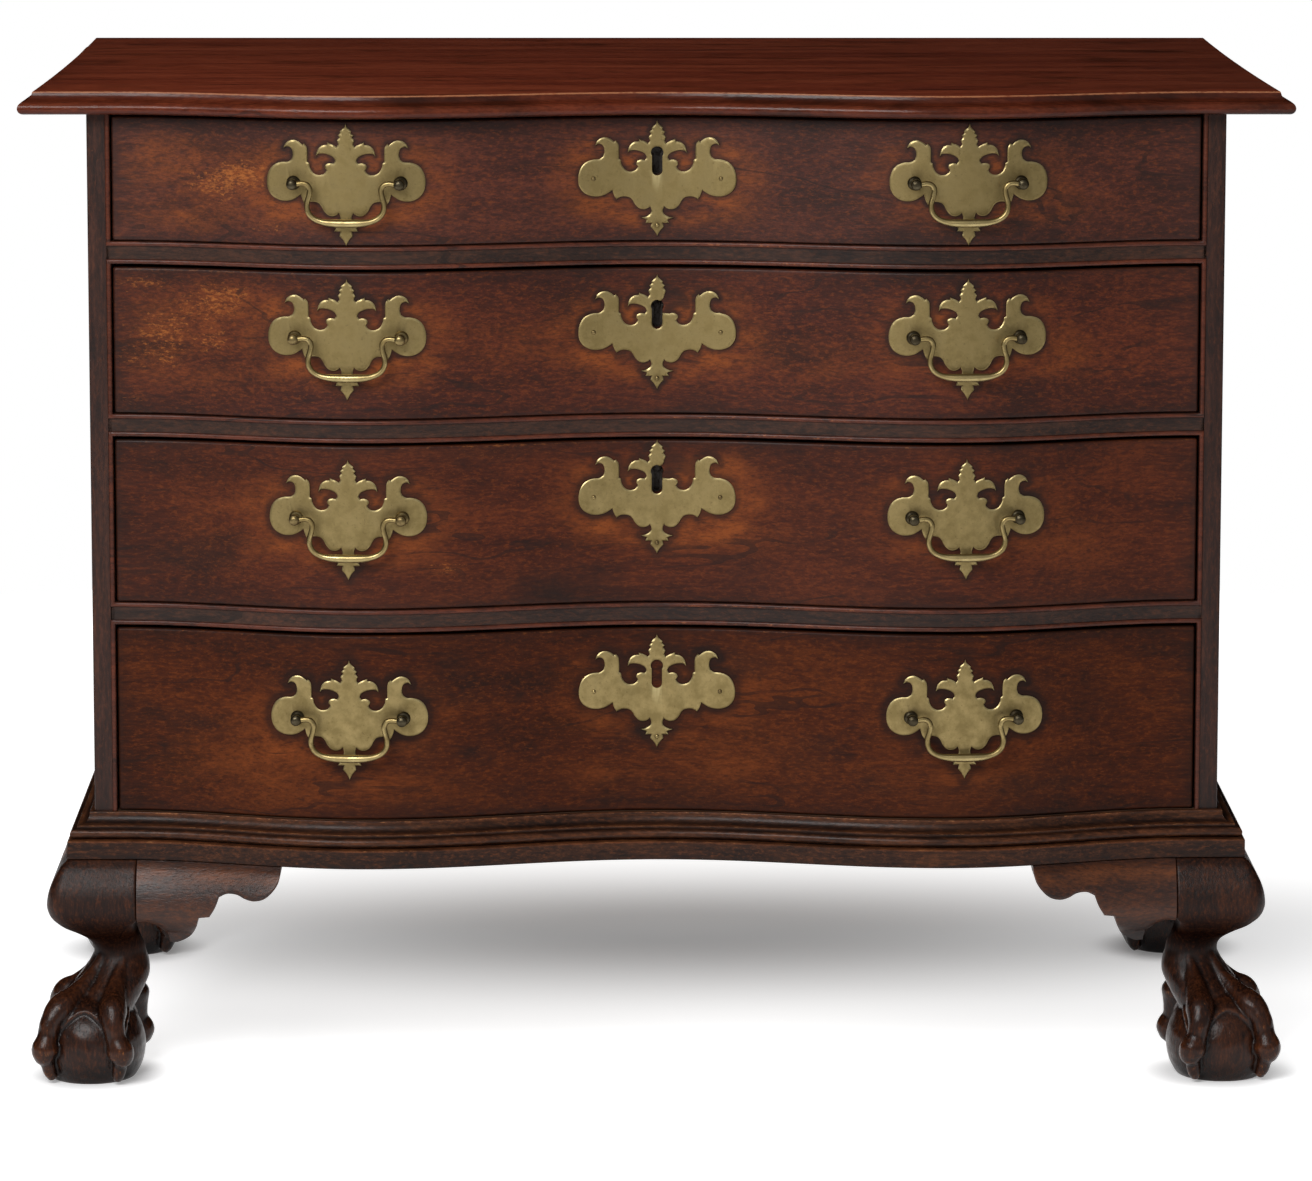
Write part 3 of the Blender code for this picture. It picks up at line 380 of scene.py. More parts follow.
def mesh_from(name, skins):
    """One mesh of several skins, doubles merged and faces turned outwards."""
    vertices = np.concatenate([s[0] for s in skins])
    starts = np.cumsum([0] + [len(s[0]) for s in skins])
    faces = []
    for begin, (_, quads, others) in zip(starts, skins):
        faces += (quads + begin).tolist() + [(f + begin).tolist() for f in others]
    mesh = bpy.data.meshes.new(name)
    mesh.from_pydata(vertices.tolist(), [], faces)
    tidy = bmesh.new()
    tidy.from_mesh(mesh)
    bmesh.ops.remove_doubles(tidy, verts=tidy.verts, dist=1e-6)
    bmesh.ops.recalc_face_normals(tidy, faces=tidy.faces)
    tidy.to_mesh(mesh)
    tidy.free()
    return mesh


def shown(name, data):
    """A new object in the scene."""
    made = bpy.data.objects.new(name, data)
    bpy.context.scene.collection.objects.link(made)
    return made


def worked(mesh, *steps):
    """The mesh after modifiers, each given as (kind, settings); what only carried them is removed."""
    holder = shown("holder", mesh)
    for kind, settings in steps:
        modifier = holder.modifiers.new(kind, kind)
        for key, value in settings.items():
            setattr(modifier, key, value)
    made = bpy.data.meshes.new_from_object(holder.evaluated_get(bpy.context.evaluated_depsgraph_get()))
    bpy.data.objects.remove(holder)
    return made


def cut(mesh, cutter):
    """The mesh less a closed cutter."""
    tool = shown("tool", mesh_from("tool", [cutter]))
    made = worked(mesh, ("BOOLEAN", {"operation": "DIFFERENCE", "object": tool, "solver": "EXACT"}))
    bpy.data.objects.remove(tool)
    return made


def points_of(mesh, what="co"):
    """The mesh's vertices as an array, or what else is kept of them."""
    flat = np.empty(len(mesh.vertices) * 3)
    mesh.vertices.foreach_get(what, flat)
    return flat.reshape(-1, 3)


def moved(mesh, at):
    """The mesh with its vertices at new places."""
    mesh.vertices.foreach_set("co", at.ravel())
    mesh.update()
    return mesh


def hollows(mesh):
    """How far each vertex lies below the middle of its neighbours, along its normal: above 0 in a hollow."""
    at = points_of(mesh)
    edges = np.empty(len(mesh.edges) * 2, int)
    mesh.edges.foreach_get("vertices", edges)
    a, b = edges.reshape(-1, 2).T
    total, count = np.zeros_like(at), np.zeros(len(at))
    for one, other in ((a, b), (b, a)):
        np.add.at(total, one, at[other])
        np.add.at(count, one, 1)
    return np.sum((total / np.maximum(count, 1)[:, None] - at) * points_of(mesh, "normal"), axis=1)


def piece(name, shape, finish, body, stands_for=(), crease=35, marks=None):
    """Puts a shape in the scene: its finish, the body it rides on, the node it stands for and its painted
    marks."""
    mesh = shape if isinstance(shape, bpy.types.Mesh) else mesh_from(name, shape)
    mesh.name = name
    mesh.shade_smooth()
    mesh.set_sharp_from_angle(angle=math.radians(crease))
    mesh.materials.clear()
    mesh.materials.append(finish)
    for label, values in (marks(mesh) if marks else {}).items():
        values = np.clip(values, DULLEST if label == "polish" else 0, 1)
        mesh.attributes.new(label, "FLOAT", "POINT").data.foreach_set("value", values)
    made = shown(name, mesh)
    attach(made, body)
    if stands_for:
        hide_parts(*stands_for)


# Finishes
def linear(code):
    """An sRGB hex colour as linear red, green, blue and a full alpha."""
    values = [int(code[k:k + 2], 16) / 255 for k in (1, 3, 5)]
    return tuple(v / 12.92 if v <= 0.04045 else ((v + 0.055) / 1.055) ** 2.4 for v in values) + (1.0,)


def feed(node, sockets):
    """Sets a node's sockets, by name or in order: another node's output is linked, any other value is
    kept."""
    for key, value in sockets.items() if isinstance(sockets, dict) else enumerate(sockets):
        if isinstance(value, bpy.types.NodeSocket):
            node.id_data.links.new(value, node.inputs[key])
        else:
            node.inputs[key].default_value = value


def add(tree, kind, sockets=(), out=0, **settings):
    """Adds a node with its settings and what its sockets take, and returns one of its outputs."""
    made = tree.nodes.new("ShaderNode" + kind)
    for key, value in settings.items():
        setattr(made, key, value)
    feed(made, sockets)
    return made.outputs[out]


def new_finish(name):
    """A new material, what adds its nodes, and its shader."""
    made = bpy.data.materials.new(name)
    made.use_nodes = True
    return made, partial(add, made.node_tree), made.node_tree.nodes["Principled BSDF"]


# The lowest polish, and the scales along the grain of streaks, growth lines and clouds
DULLEST = -2.5
DRAWN, LONG, SWEPT = 0.09, 0.025, 0.38
TONE_STOPS = (0.38, 0.5, 0.62)
NOISE = ("Vector", "Scale", "Detail", "Roughness", "Distortion")


def stretched(grain, share):
    """Scales that draw a pattern out along the grain."""
    return [share if axis == grain else 1 for axis in "xyz"]


def varnished_mahogany(name, grain, colours, roughness, shine, mottle, crazed, texture=0.3):
    """Mahogany, planed and varnished, then two centuries of wax and dust: a soft figure 30 mm wide and
    streaks 3 mm wide along the grain, dark pores (0.3 mm in the wood, drawn 1.1 mm wide so that they show),
    cloudy old varnish in 45 mm blotches, crazed into 2 mm specks of thick and thin varnish, and a few
    hairline checks (0.3 mm, drawn 1 mm wide). The mark "fade" thins the varnish to a warm brown, "wear"
    breaks it into bare orange flecks 2 mm across, "grime" darkens it, as dirt and as painted shade, and
    "polish" makes it shine, or dull where it is below 0. Wear along the upper edges of the drawers, and fade
    and wear on the crowns of the beads, are also a painted highlight. The colours are three tones of the
    wood, then faded, worn and dirty; the dirty one also paints shade."""
    made, node, shader = new_finish(name)
    *tones, faded, worn, dirt = map(linear, colours.split())
    place = node("TexCoord", out="Object")
    drawn, swept = (node("Mapping", {"Vector": place, "Scale": stretched(grain, share)})
                    for share in (DRAWN, SWEPT))
    fade, wear, grime, polish = (node("Attribute", out="Fac", attribute_name=mark)
                                 for mark in ("fade", "wear", "grime", "polish"))
    figure, streak, pores, cloud, fleck, brushed, craze, vein = (
        node("TexNoise", dict(zip(NOISE, values)), out) for out, *values in (
            ("Fac", drawn, 1 / 0.030, 4, 0.55, 0.3), ("Fac", drawn, 1 / 0.003, 3, 0.65),
            ("Fac", drawn, 1 / 0.0011, 1), ("Fac", swept, 1 / 0.045, 6, 0.62),
            ("Fac", swept, 1 / 0.0020, 3, 0.75), ("Fac", swept, 1 / 0.013, 6, 0.68),
            ("Color", swept, 1 / 0.0023, 4, 0.75), ("Color", drawn, 1 / 0.055, 3)))
    craze = node("SeparateColor", (craze,), "Green")
    vein = node("SeparateColor", (vein,), "Blue")
    ragged = node("Math", (fleck, 1.6, wear), operation="MULTIPLY_ADD")
    ragged = node("Math", (brushed, 0.4, ragged), operation="MULTIPLY_ADD")
    thin, hole, dark, light, sparse, bare, patchy, rough = (
        node("MapRange", values) for values in (
            (brushed, 0.34, 0.66, 0.1, 1.3), (pores, 0.58, 0.74, 0, 0.45), (craze, 0.52, 0.36, 0, crazed),
            (craze, 0.52, 0.68, 0, crazed), (cloud, 0.49, 0.58, 0, 0.6), (ragged, 1.47, 1.76, 0, 0.85),
            (cloud, 0.3, 0.6, 1.0, 0.5), (cloud, 0.35, 0.65, roughness - 0.03, roughness + 0.04)))
    blotch = node("MapRange", (cloud, 0.49, 0.30, 0, mottle), interpolation_type="SMOOTHSTEP")
    split = node("Math", (vein, 0.5, 0.008), operation="COMPARE")
    thin, split, black = (node("Math", (share, gain), operation="MULTIPLY", use_clamp=True)
                          for share, gain in ((fade, thin), (split, sparse), (grime, patchy)))
    half = node("Math", (streak, 0.5), operation="MULTIPLY")
    tone = node("Math", (figure, 0.5, half), operation="MULTIPLY_ADD")
    colour = node("ValToRGB", {"Fac": tone})
    colour.node.color_ramp.elements.new(TONE_STOPS[1])
    for stop, position, tone in zip(colour.node.color_ramp.elements, TONE_STOPS, tones):
        stop.position, stop.color = position, tone
    for share, layer in ((thin, faded), (hole, dirt), (blotch, dirt), (dark, dirt), (light, faded),
                         (split, dirt), (bare, worn), (black, dirt)):
        colour = node("Mix", {0: share, 6: colour, 7: layer}, 2, data_type="RGBA")
    rough = node("Math", (polish, -0.17, rough), operation="MULTIPLY_ADD")
    relief = node("Math", (hole, -0.6, streak), operation="MULTIPLY_ADD")
    relief = node("Math", (craze, 0.8, relief), operation="MULTIPLY_ADD")
    bump = node("Bump", {"Strength": texture, "Distance": 0.0005, "Height": relief})
    sheen = node("Math", (polish, -1 / DULLEST, 1), operation="MULTIPLY_ADD", use_clamp=True)
    sheen = node("Math", (sheen, shine), operation="MULTIPLY")
    feed(shader, {"Base Color": colour, "Roughness": rough, "Normal": bump, "IOR": 1.5,
                  "Specular IOR Level": sheen})
    return made


def planed_pine(name, grain, tones):
    """White pine, sawn and hand planed, never varnished: pale straw with 7 mm growth lines along the grain
    and a few brown knots 20 mm across, turned brown and grey by dust in 60 mm clouds, dry and dull."""
    made, node, shader = new_finish(name)
    place = node("TexCoord", out="Object")
    drawn = node("Mapping", {"Vector": place, "Scale": stretched(grain, LONG)})
    lines = node("TexNoise", dict(zip(NOISE, (drawn, 1 / 0.007, 3, 0.6, 0.2))), "Fac")
    dust = node("TexNoise", dict(zip(NOISE, (place, 1 / 0.060, 6, 0.65))), "Fac")
    knot = node("TexVoronoi", {"Vector": place, "Scale": 1 / 0.22}, "Distance")
    knot = node("MapRange", (knot, 0.075, 0.035, 0, 0.75))
    shade = node("MapRange", (dust, 0.42, 0.70, 0, 0.45), interpolation_type="SMOOTHSTEP")
    rough = node("MapRange", (dust, 0.3, 0.7, 0.62, 0.85))
    colour = node("ValToRGB", {"Fac": lines})
    colour.node.color_ramp.elements.new(TONE_STOPS[1])
    for stop, position, code in zip(colour.node.color_ramp.elements, TONE_STOPS, tones.split()):
        stop.position, stop.color = position, linear(code)
    for share, code in ((shade, "#5d4630"), (knot, "#4a2f1b")):
        colour = node("Mix", {0: share, 6: colour, 7: linear(code)}, 2, data_type="RGBA")
    bump = node("Bump", {"Strength": 0.3, "Distance": 0.0006, "Height": lines})
    feed(shader, {"Base Color": colour, "Roughness": rough, "Normal": bump})
    return made


def cast_brass(name, bright, dull, tarnish, roughness):
    """Cast brass, filed and once lacquered: an olive gold with 12 mm clouds of tarnish and 2 mm brown spots,
    bright where the mark "rub" is high, polish on a bail's grip and a painted highlight on a plate's upper
    bevels, and brown where the mark "grime" is, tarnish round posts and pins and painted shade on a plate's
    lower bevels."""
    made, node, shader = new_finish(name)
    place = node("TexCoord", out="Object")
    cloud = node("TexNoise", dict(zip(NOISE, (place, 1 / 0.012, 5, 0.65))), "Fac")
    spot = node("TexNoise", dict(zip(NOISE, (place, 1 / 0.0022, 2))), "Fac")
    rub, grime = (node("Attribute", out="Fac", attribute_name=mark) for mark in ("rub", "grime"))
    haze, spot, rough = (node("MapRange", values) for values in (
        (cloud, 0.36, 0.62), (spot, 0.62, 0.74, 0, 0.4),
        (cloud, 0.36, 0.64, roughness - 0.06, roughness + 0.12)))
    colour = node("Mix", {0: haze, 6: linear(bright), 7: linear(dull)}, 2, data_type="RGBA")
    # The bright colour is polish on a bail's grip and a painted highlight on a plate's upper bevels; the
    # tarnish is also painted shade on a plate's lower bevels
    for share, code in ((spot, tarnish), (rub, "#d2c290"), (grime, tarnish)):
        colour = node("Mix", {0: share, 6: colour, 7: linear(code)}, 2, data_type="RGBA")
    bump = node("Bump", {"Strength": 0.25, "Distance": 0.0004, "Height": cloud})
    feed(shader, {"Base Color": colour, "Roughness": rough, "Normal": bump, "Metallic": 1.0})
    return made


def forged_iron(name):
    """Wrought iron, forged and filed: dark grey with 5 mm brown rust clouds, dull."""
    made, node, shader = new_finish(name)
    rust = node("TexNoise", dict(zip(NOISE, (node("TexCoord", out="Object"), 1 / 0.005, 5, 0.7))), "Fac")
    brown = node("MapRange", (rust, 0.45, 0.68))
    colour = node("Mix", {0: brown, 6: linear("#45413e"), 7: linear("#2d2018")}, 2, data_type="RGBA")
    rough = node("MapRange", (brown, 0, 1, 0.42, 0.75))
    bump = node("Bump", {"Strength": 0.4, "Distance": 0.0005, "Height": rust})
    feed(shader, {"Base Color": colour, "Roughness": rough, "Normal": bump, "Metallic": 0.9})
    return made


# Of each drawer: (three tones, shine, crazing)
DRAWER_WOODS = (("#351a13 #48231a #5c2f22", 0.22, 0.50), ("#34150d #4a2014 #5e2b19", 0.18, 0.50),
                ("#34140a #491f10 #5c2a15", 0.15, 0.38), ("#2f1409 #441d0d #562810", 0.09, 0.34))
drawer_woods = [varnished_mahogany(f"varnished_mahogany_drawer_{n}", "x", tones + " #83431d #a5602c #20130f",
                                   0.42, shine, 0.60, crazed)
                for n, (tones, shine, crazed) in enumerate(DRAWER_WOODS, 1)]
BASE_LOOK = ("#1f110b #341d12 #482a19 #784528 #a06a40 #0f0a09", 0.33, 0.15, 0.55, 0.40)
top_wood, stile_wood, rail_wood, bead_wood, base_wood, return_wood, bracket_wood, leg_wood = (
    varnished_mahogany(*look) for look in (
        ("varnished_mahogany_top", "x",
         "#562013 #6b2c19 #7e3a23 #86472a #a06a48 #261009", 0.34, 0.16, 0.62, 0.30),
        ("varnished_mahogany_side", "z",
         "#241410 #351f18 #472a20 #60351f #80543d #150e0c", 0.42, 0.22, 0.5, 0.35),
        ("varnished_mahogany_rail", "x",
         "#20130f #322018 #452b20 #5f351f #8e5d45 #130c0a", 0.38, 0.24, 0.5, 0.40),
        ("varnished_mahogany_bead", "x",
         "#2a120b #401d13 #55291c #74381f #a5623a #100806", 0.36, 0.24, 0.4, 0.30),
        ("varnished_mahogany_base", "x", *BASE_LOOK),
        ("varnished_mahogany_return", "y", *BASE_LOOK),
        ("sawn_mahogany", "x",
         "#1b0c07 #2f170e #442415 #6a3818 #8a5224 #090606", 0.40, 0.34, 0.5, 0.45, 0.6),
        ("carved_mahogany", "z",
         "#170a06 #28140c #3a1f12 #65351a #8a5224 #090606", 0.40, 0.20, 0.5, 0.40, 0.5)))
pine_across = planed_pine("planed_pine_across", "x", "#8a6238 #a67c4c #b98f5f")
pine_deep = planed_pine("planed_pine_deep", "y", "#8a6238 #a67c4c #b98f5f")
pine_dark = planed_pine("planed_pine_dark", "x", "#3a2718 #493220 #583e29")
plate_brass = cast_brass("cast_brass_plate", "#928056", "#7b6b45", "#514228", 0.40)
bail_brass = cast_brass("cast_brass_bail", "#95845a", "#7b6a44", "#4b3b21", 0.32)
post_brass = cast_brass("cast_brass_post", "#8c7b53", "#5a4b32", "#231a11", 0.34)
post_dark = cast_brass("cast_brass_post_dark", "#4f4838", "#352e22", "#15110c", 0.34)
iron = forged_iron("forged_iron")


# Top
def top_half_width(y):
    """Half the width of the top at y: the ends sweep out to the front corners, as a parabola from the
    back."""
    share = (y - TOP_FRONT) / (top_high.y - TOP_FRONT)
    return top_high.x - TOP_FLARE * (1 - (1 - share) ** 2)


def moulded_top():
    """Rings of the top's outline, each set in by its moulded edge: a half-round nose from below, a small
    fillet, a quarter-round hollow and a softened upper arris."""
    radius, hollow = TOP_NOSE / 2, TOP_THICK - TOP_NOSE
    nose, cove = arc(-90, 50, 15), arc(2, 76, 10)
    inner, down = np.transpose(TOP_ARRIS_LINE)
    inset = np.concatenate((radius - radius * np.cos(nose), TOP_FILLET + hollow * np.sin(cove),
                            TOP_FILLET + hollow + inner))
    height = np.concatenate((radius + radius * np.sin(nose), TOP_THICK - hollow * np.cos(cove),
                             TOP_THICK - down))
    rings = []
    for inward, z in zip(inset, top_low.z + height):
        y = np.linspace(TOP_FRONT + inward, top_high.y, 41)
        ends = top_half_width(y) - inward
        x = np.linspace(-ends[0], ends[0], 301)
        rings.append(np.concatenate((xyz(x, front_line(x) - TOP_OVERHANG + inward, z),
                                     xyz(ends[1:], y[1:], z), xyz(-ends[:0:-1], y[:0:-1], z))))
    return [skin(rings)]


def top_marks(mesh):
    """Dirt in the hollow of the edge, painted shade along the underside of the nose, wear along its upper
    arris, thinner varnish on the nose, and a shine below the upper face."""
    up = points_of(mesh)[:, 2] - top_low.z
    below = up < TOP_THICK - TOP_ARRIS
    edge = np.abs(up - TOP_THICK + TOP_ARRIS / 2) < 0.0005
    hollow = bell(up, (TOP_NOSE + TOP_THICK) / 2, 0.45 * (TOP_THICK - TOP_NOSE)) * below
    # Painted shade along the underside of the nose
    return {"grime": 1.1 * hollow + 0.5 * np.exp(-up / 0.0022) + 0.5 * below, "wear": 0.8 * edge,
            "fade": 0.25 * bell(up, 0.0070, 0.0025) + 0.7 * edge, "polish": 1.0 * below}


def strike(n):
    """The mortise that a drawer's bolt rises into: a box of the bolt's own section, with play on every
    side."""
    low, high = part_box(f"drawer_{n}_bolt")
    play = Vector((STRIKE_PLAY, STRIKE_PLAY, 0))
    rise = Vector((0, 0, BOLT_THROW + STRIKE_PLAY))
    return block(Vector((low.x, low.y, high.z)) - play, high + play + rise, ARRIS / 2)


top = cut(mesh_from("top", moulded_top()), strike(1))
piece("moulded_top", top, top_wood, "case", ("top_board",), 28, top_marks)


# Case
def case_side(sign):
    """A side board: its outline in plan, with a worn outer corner and a rebate for the back, carried up."""
    r, inside = CASE_CORNER, BACK_Y - BACK_THICKNESS
    turn = arc(0, 90, 6)
    corner = np.stack((HALF - r + r * np.cos(turn), FRONT_Y + r - r * np.sin(turn)), 1)
    rest = ((INNER + ARRIS, FRONT_Y), (INNER, FRONT_Y + ARRIS), (INNER, inside),
            (INNER + BACK_REBATE, inside), (INNER + BACK_REBATE, BACK_Y), (HALF - BACK_ARRIS, BACK_Y),
            (HALF, BACK_Y - BACK_ARRIS))
    x, y = np.concatenate((corner, rest)).T
    skins = [skin(xyz(sign * x, y, np.linspace(side_low.z, side_high.z, 61)[:, None]))]
    for low, high in BLADES:
        left, right = sorted((sign * (INNER - RUNNER_WIDTH), sign * (INNER - RUNNER_GAP)))
        front = FRONT_Y + BLADE_DEPTH + 2 * SEAT
        skins.append(block((left, front, low), (right, inside - SEAT, high), 2 * ARRIS))
    return skins


def side_marks(mesh):
    """Dirt above the base moulding, wear on the outer corner."""
    x, y, z = points_of(mesh).T
    return {"grime": 0.6 * np.exp(-(z - base_high.z) / 0.02) * (y < FRONT_Y + 0.05),
            "wear": 0.35 * bell(np.abs(x), HALF, 0.002) * (y < FRONT_Y + 0.003)}


for label, sign in SIDES:
    piece(f"side_board_{label}", case_side(sign), stile_wood, "case", (f"case_side_{label}",), 30, side_marks)


def blade(low, high):
    """A drawer blade: a flat-faced section with softened edges, carried along the front line."""
    s, end = BLADE_ARRIS, INNER + BEAD_WIDTH - SEAT
    x = np.linspace(-end, end, 201)[:, None]
    depth = np.array((0, 0, s, BLADE_DEPTH, BLADE_DEPTH, s))
    y = np.where(depth > s, FRONT_Y, front_line(x)) + depth
    return [skin(xyz(x, y, (low + s, high - s, high, high, low, low)))]


for n, (low, high) in enumerate(BLADES, 1):
    rail = mesh_from("rail", blade(low, high))
    rail = cut(rail, strike(n + 1)) if n < 3 else rail
    piece(f"rail_{n}", rail, rail_wood, "case", (f"drawer_blade_{n}",), 30)


def bead_frame(low, high, runs):
    """The bead round an opening: a half-round carried along its sides, mitred at the corners. Out is measured
    away from the opening, so that each run ends on the mitre. Runs are any of lower, right, upper and left,
    in order."""
    turn = arc(0, 180, 11)
    out = BEAD_WIDTH / 2 * (1 + np.concatenate((np.cos(turn), (-0.9, 0.9))))
    rise = np.concatenate((BEAD_RISE * np.sin(turn), (-BEAD_ROOT, -BEAD_ROOT)))
    bottom = low - out if "lower" in runs else low
    top = high + out if "upper" in runs else high
    level, upright = np.linspace(-1, 1, 181)[:, None], np.linspace(0, 1, 31)[:, None]
    paths = {"lower": (level * (INNER + out), bottom), "upper": (-level * (INNER + out), top),
             "right": (INNER + out, bottom + upright * (top - bottom)),
             "left": (-INNER - out, bottom + upright[::-1] * (top - bottom))}
    rings = [xyz(x, front_line(x) - rise, z) for x, z in (paths[run] for run in runs)]
    looped = len(runs) == 4
    last = [] if looped else [rings[-1][-1:]]
    return [skin(np.concatenate([ring[:-1] for ring in rings] + last), looped)]


def bead_marks(mesh):
    """Wear on the crown of the bead, most near the middle, a painted highlight along all its crown, and
    painted shade at its foot.
    """
    x, y, _ = points_of(mesh).T
    rise = front_line(x) - y
    crown = held((rise - 0.0009) / 0.0006)
    # Painted shade at the foot of the bead; a painted highlight, with wear, on its crown
    return {"grime": 1 - rise / 0.0009, "fade": 0.4 * crown,
            "wear": crown * np.clip(0.45 - 1.5 * np.abs(x - 0.08), 0, 0.4)}


ROUND = ("lower", "right", "upper", "left")
RUNS = (("left", "lower", "right"), ROUND, ROUND, ROUND[1:])
for n, ((low, high), runs) in enumerate(zip(OPENINGS, RUNS), 1):
    shape = bead_frame(low, high - (SEAT if n == 1 else 0), runs)
    piece(f"bead_{n}", shape, bead_wood, "case", (), 50, bead_marks)


def base_section():
    """The base moulding from its top edge down, as projection and height: a small round, a hollow, a fillet,
    a half-round and a tall fascia."""
    tall, s = base_high.z - base_low.z, BASE_ARRIS
    cove_foot = tall - BASE_COVE
    cove_out = BASE_TOP_STEP + BASE_COVE - BASE_FILLET
    round_top, round_foot = cove_foot - BASE_FILLET, BASE_FASCIA + BASE_QUIRK
    round_in, round_out = cove_out + BASE_FILLET, BASE_PROJECTION - BASE_FILLET
    lip, cove, ball = arc(90, -30, 6), arc(4, 88, 10), arc(0, 165, 14)
    half = (round_top - round_foot) / 2
    fascia = np.linspace(BASE_FASCIA - s, s, 12)
    return np.concatenate((
        ((SEAT, tall),),
        np.stack((BASE_TOP_STEP - BASE_LIP + BASE_LIP * np.cos(lip),
                  tall - BASE_LIP + BASE_LIP * np.sin(lip)), 1),
        np.stack((cove_out - (cove_out - BASE_TOP_STEP) * np.cos(cove),
                  tall - BASE_COVE_DROP - (BASE_COVE - BASE_COVE_DROP) * np.sin(cove)), 1),
        ((round_in - s / 2, cove_foot), (round_in, cove_foot - s / 2), (round_in, round_top)),
        np.stack((round_in + s + (round_out - round_in - s) * np.sin(ball),
                  round_foot + half + half * np.cos(ball)), 1),
        ((round_out - BASE_QUIRK_DEPTH, BASE_FASCIA), (BASE_PROJECTION - s, BASE_FASCIA)),
        np.stack((np.full(12, BASE_PROJECTION), fascia), 1), ((BASE_PROJECTION - s, 0), (SEAT, 0)))).T


def base_front():
    """The section carried along the front line, mitred at both ends."""
    out, up = base_section()
    x = np.linspace(-INNER, INNER, 221)[:, None]
    ends = [xyz(sign * (HALF + out), FRONT_Y - out, base_low.z + up)[None] for sign in (-1, 1)]
    return [skin(np.concatenate((ends[0], xyz(x, front_line(x) - out, base_low.z + up), ends[1])))]


def base_return(sign):
    """The section carried back along a side from its mitre."""
    out, up = base_section()
    mitre = FRONT_Y - out + 2 * SEAT
    share = np.linspace(0, 1, 41)[:, None]
    return [skin(xyz(sign * (HALF + out), mitre + share * (BACK_Y - mitre), base_low.z + up))]


def base_marks(mesh):
    """Dirt in the hollow and the quirk, wear on the arrises, thinner varnish on the half-round: bands by
    height."""
    up = points_of(mesh)[:, 2] - base_low.z
    bands = {"grime": ((0.9, 0.0278, 0.0022), (1, 0.0158, 0.0009), (0.9, 0.0242, 0.0007), (0.6, 0, 0.004)),
             "wear": ((0.55, 0.0147, 0.0005), (0.5, 0.0351, 0.0007), (0.5, 0.0263, 0.0005)),
             "fade": ((0.35, 0.0212, 0.0018), (0.5, 0.0345, 0.0012), (0.9, 0.0147, 0.0007),
                      (0.8, 0.0263, 0.0006))}
    return {mark: sum(gain * bell(up, at, wide) for gain, at, wide in rows) for mark, rows in bands.items()}


piece("base_front", base_front(), base_wood, "case", ("base_moulding_front",), 30, base_marks)
for label, sign in SIDES:
    piece(f"base_return_{label}", base_return(sign), return_wood, "case", (f"base_moulding_{label}",), 30,
          base_marks)


# Legs
def knee_face(drop):
    """How far the knee stands out of the base moulding, at a drop below it."""
    level, out = flowing(LEG_LEVELS, 4).T[:2] / 1000
    return np.interp(drop, level, out)


def leg_shank():
    """Level outlines from the knee to the top of the foot: a square between the outer and the inner face,
    whose corners are arcs. They grow from a crisp arris at the knee to a full circle at the ankle."""
    drop, out, inner, outer_arc, other_arc = flowing(LEG_LEVELS, 4).T[:, :, None] / 1000
    limit = 0.495 * (inner + out)
    corners = []
    for x, y, start, radius in ((-out, -out, 180, outer_arc), (inner, -out, 270, other_arc),
                                (inner, inner, 0, other_arc), (-out, inner, 90, other_arc)):
        r, turn = np.minimum(radius, limit), arc(start, start + 90, 10)
        corners.append([at + r * (wave(turn) - np.sign(wave(turn[4])))
                        for at, wave in ((x, np.cos), (y, np.sin))])
    share = np.linspace(0, 1, 16)[1:-1]
    plan = [[], []]
    for here, after in zip(corners, corners[1:] + corners[:1]):
        for line, a, b in zip(plan, here, after):
            line += [a, a[:, -1:] + (b[:, :1] - a[:, -1:]) * share]
    return skin(xyz(*(np.concatenate(line, 1) for line in plan), base_low.z - drop))


def about_ball(radius, polar, turn):
    """Points about the middle of the ball, at a radius, an angle from the top and a turn."""
    x, y = (FOOT_CENTRE + radius * np.sin(polar) * wave(turn) for wave in (np.cos, np.sin))
    return xyz(x, y, BALL_HEIGHT + radius * np.cos(polar))


def foot_ball():
    """A sphere, cut flat where it stands on the floor."""
    ball = about_ball(BALL_RADIUS, arc(0.2, 179.8, 60)[:, None], circle(90))
    ball[..., 2] = np.maximum(ball[..., 2], 0)
    return skin(ball)


def foot_web():
    """The skin over the ball: a cap a little larger than it, whose lip is an arch between each two talons."""
    turn = circle(180)
    toes = np.array([low for _, low in TALON_TURNS] + [360.0])
    around = (np.degrees(turn) - OUTWARD) % 360
    k = np.searchsorted(toes, around, side="right") - 1
    share = (around - toes[k]) / (toes[k + 1] - toes[k])
    lip = np.radians(LIP_CROWN + LIP_FALL * np.abs(2 * share - 1) ** LIP_POWER)
    steps = np.concatenate((np.linspace(0.03, 1, 20), (1.02, 1.0), np.linspace(0.95, 0.03, 10)))[:, None]
    rise = np.concatenate((np.full(20, WEB_RISE), (WEB_RISE * 0.6, -0.001), np.full(10, -0.004)))[:, None]
    return skin(about_ball(BALL_RADIUS + rise, steps * lip, turn))


def talon(turn_top, turn_low, gain):
    """A tapering rod from the ankle over the ball to the floor, thicker at its two knuckles."""
    height, out, back, width = flowing(TALON_PATH, 6).T
    share = held((TURN_FROM - height) / TURN_OVER)
    angle = np.radians(OUTWARD + turn_top + (turn_low - turn_top) * share)
    centre = FOOT_CENTRE + back * (ANKLE_CENTRE - FOOT_CENTRE)
    at = xyz(centre + out / 1000 * np.cos(angle), centre + out / 1000 * np.sin(angle), height / 1000)
    return rod(at, np.gradient(at, axis=0), xyz(-np.sin(angle), np.cos(angle), 0), gain * width / 1000, 24)


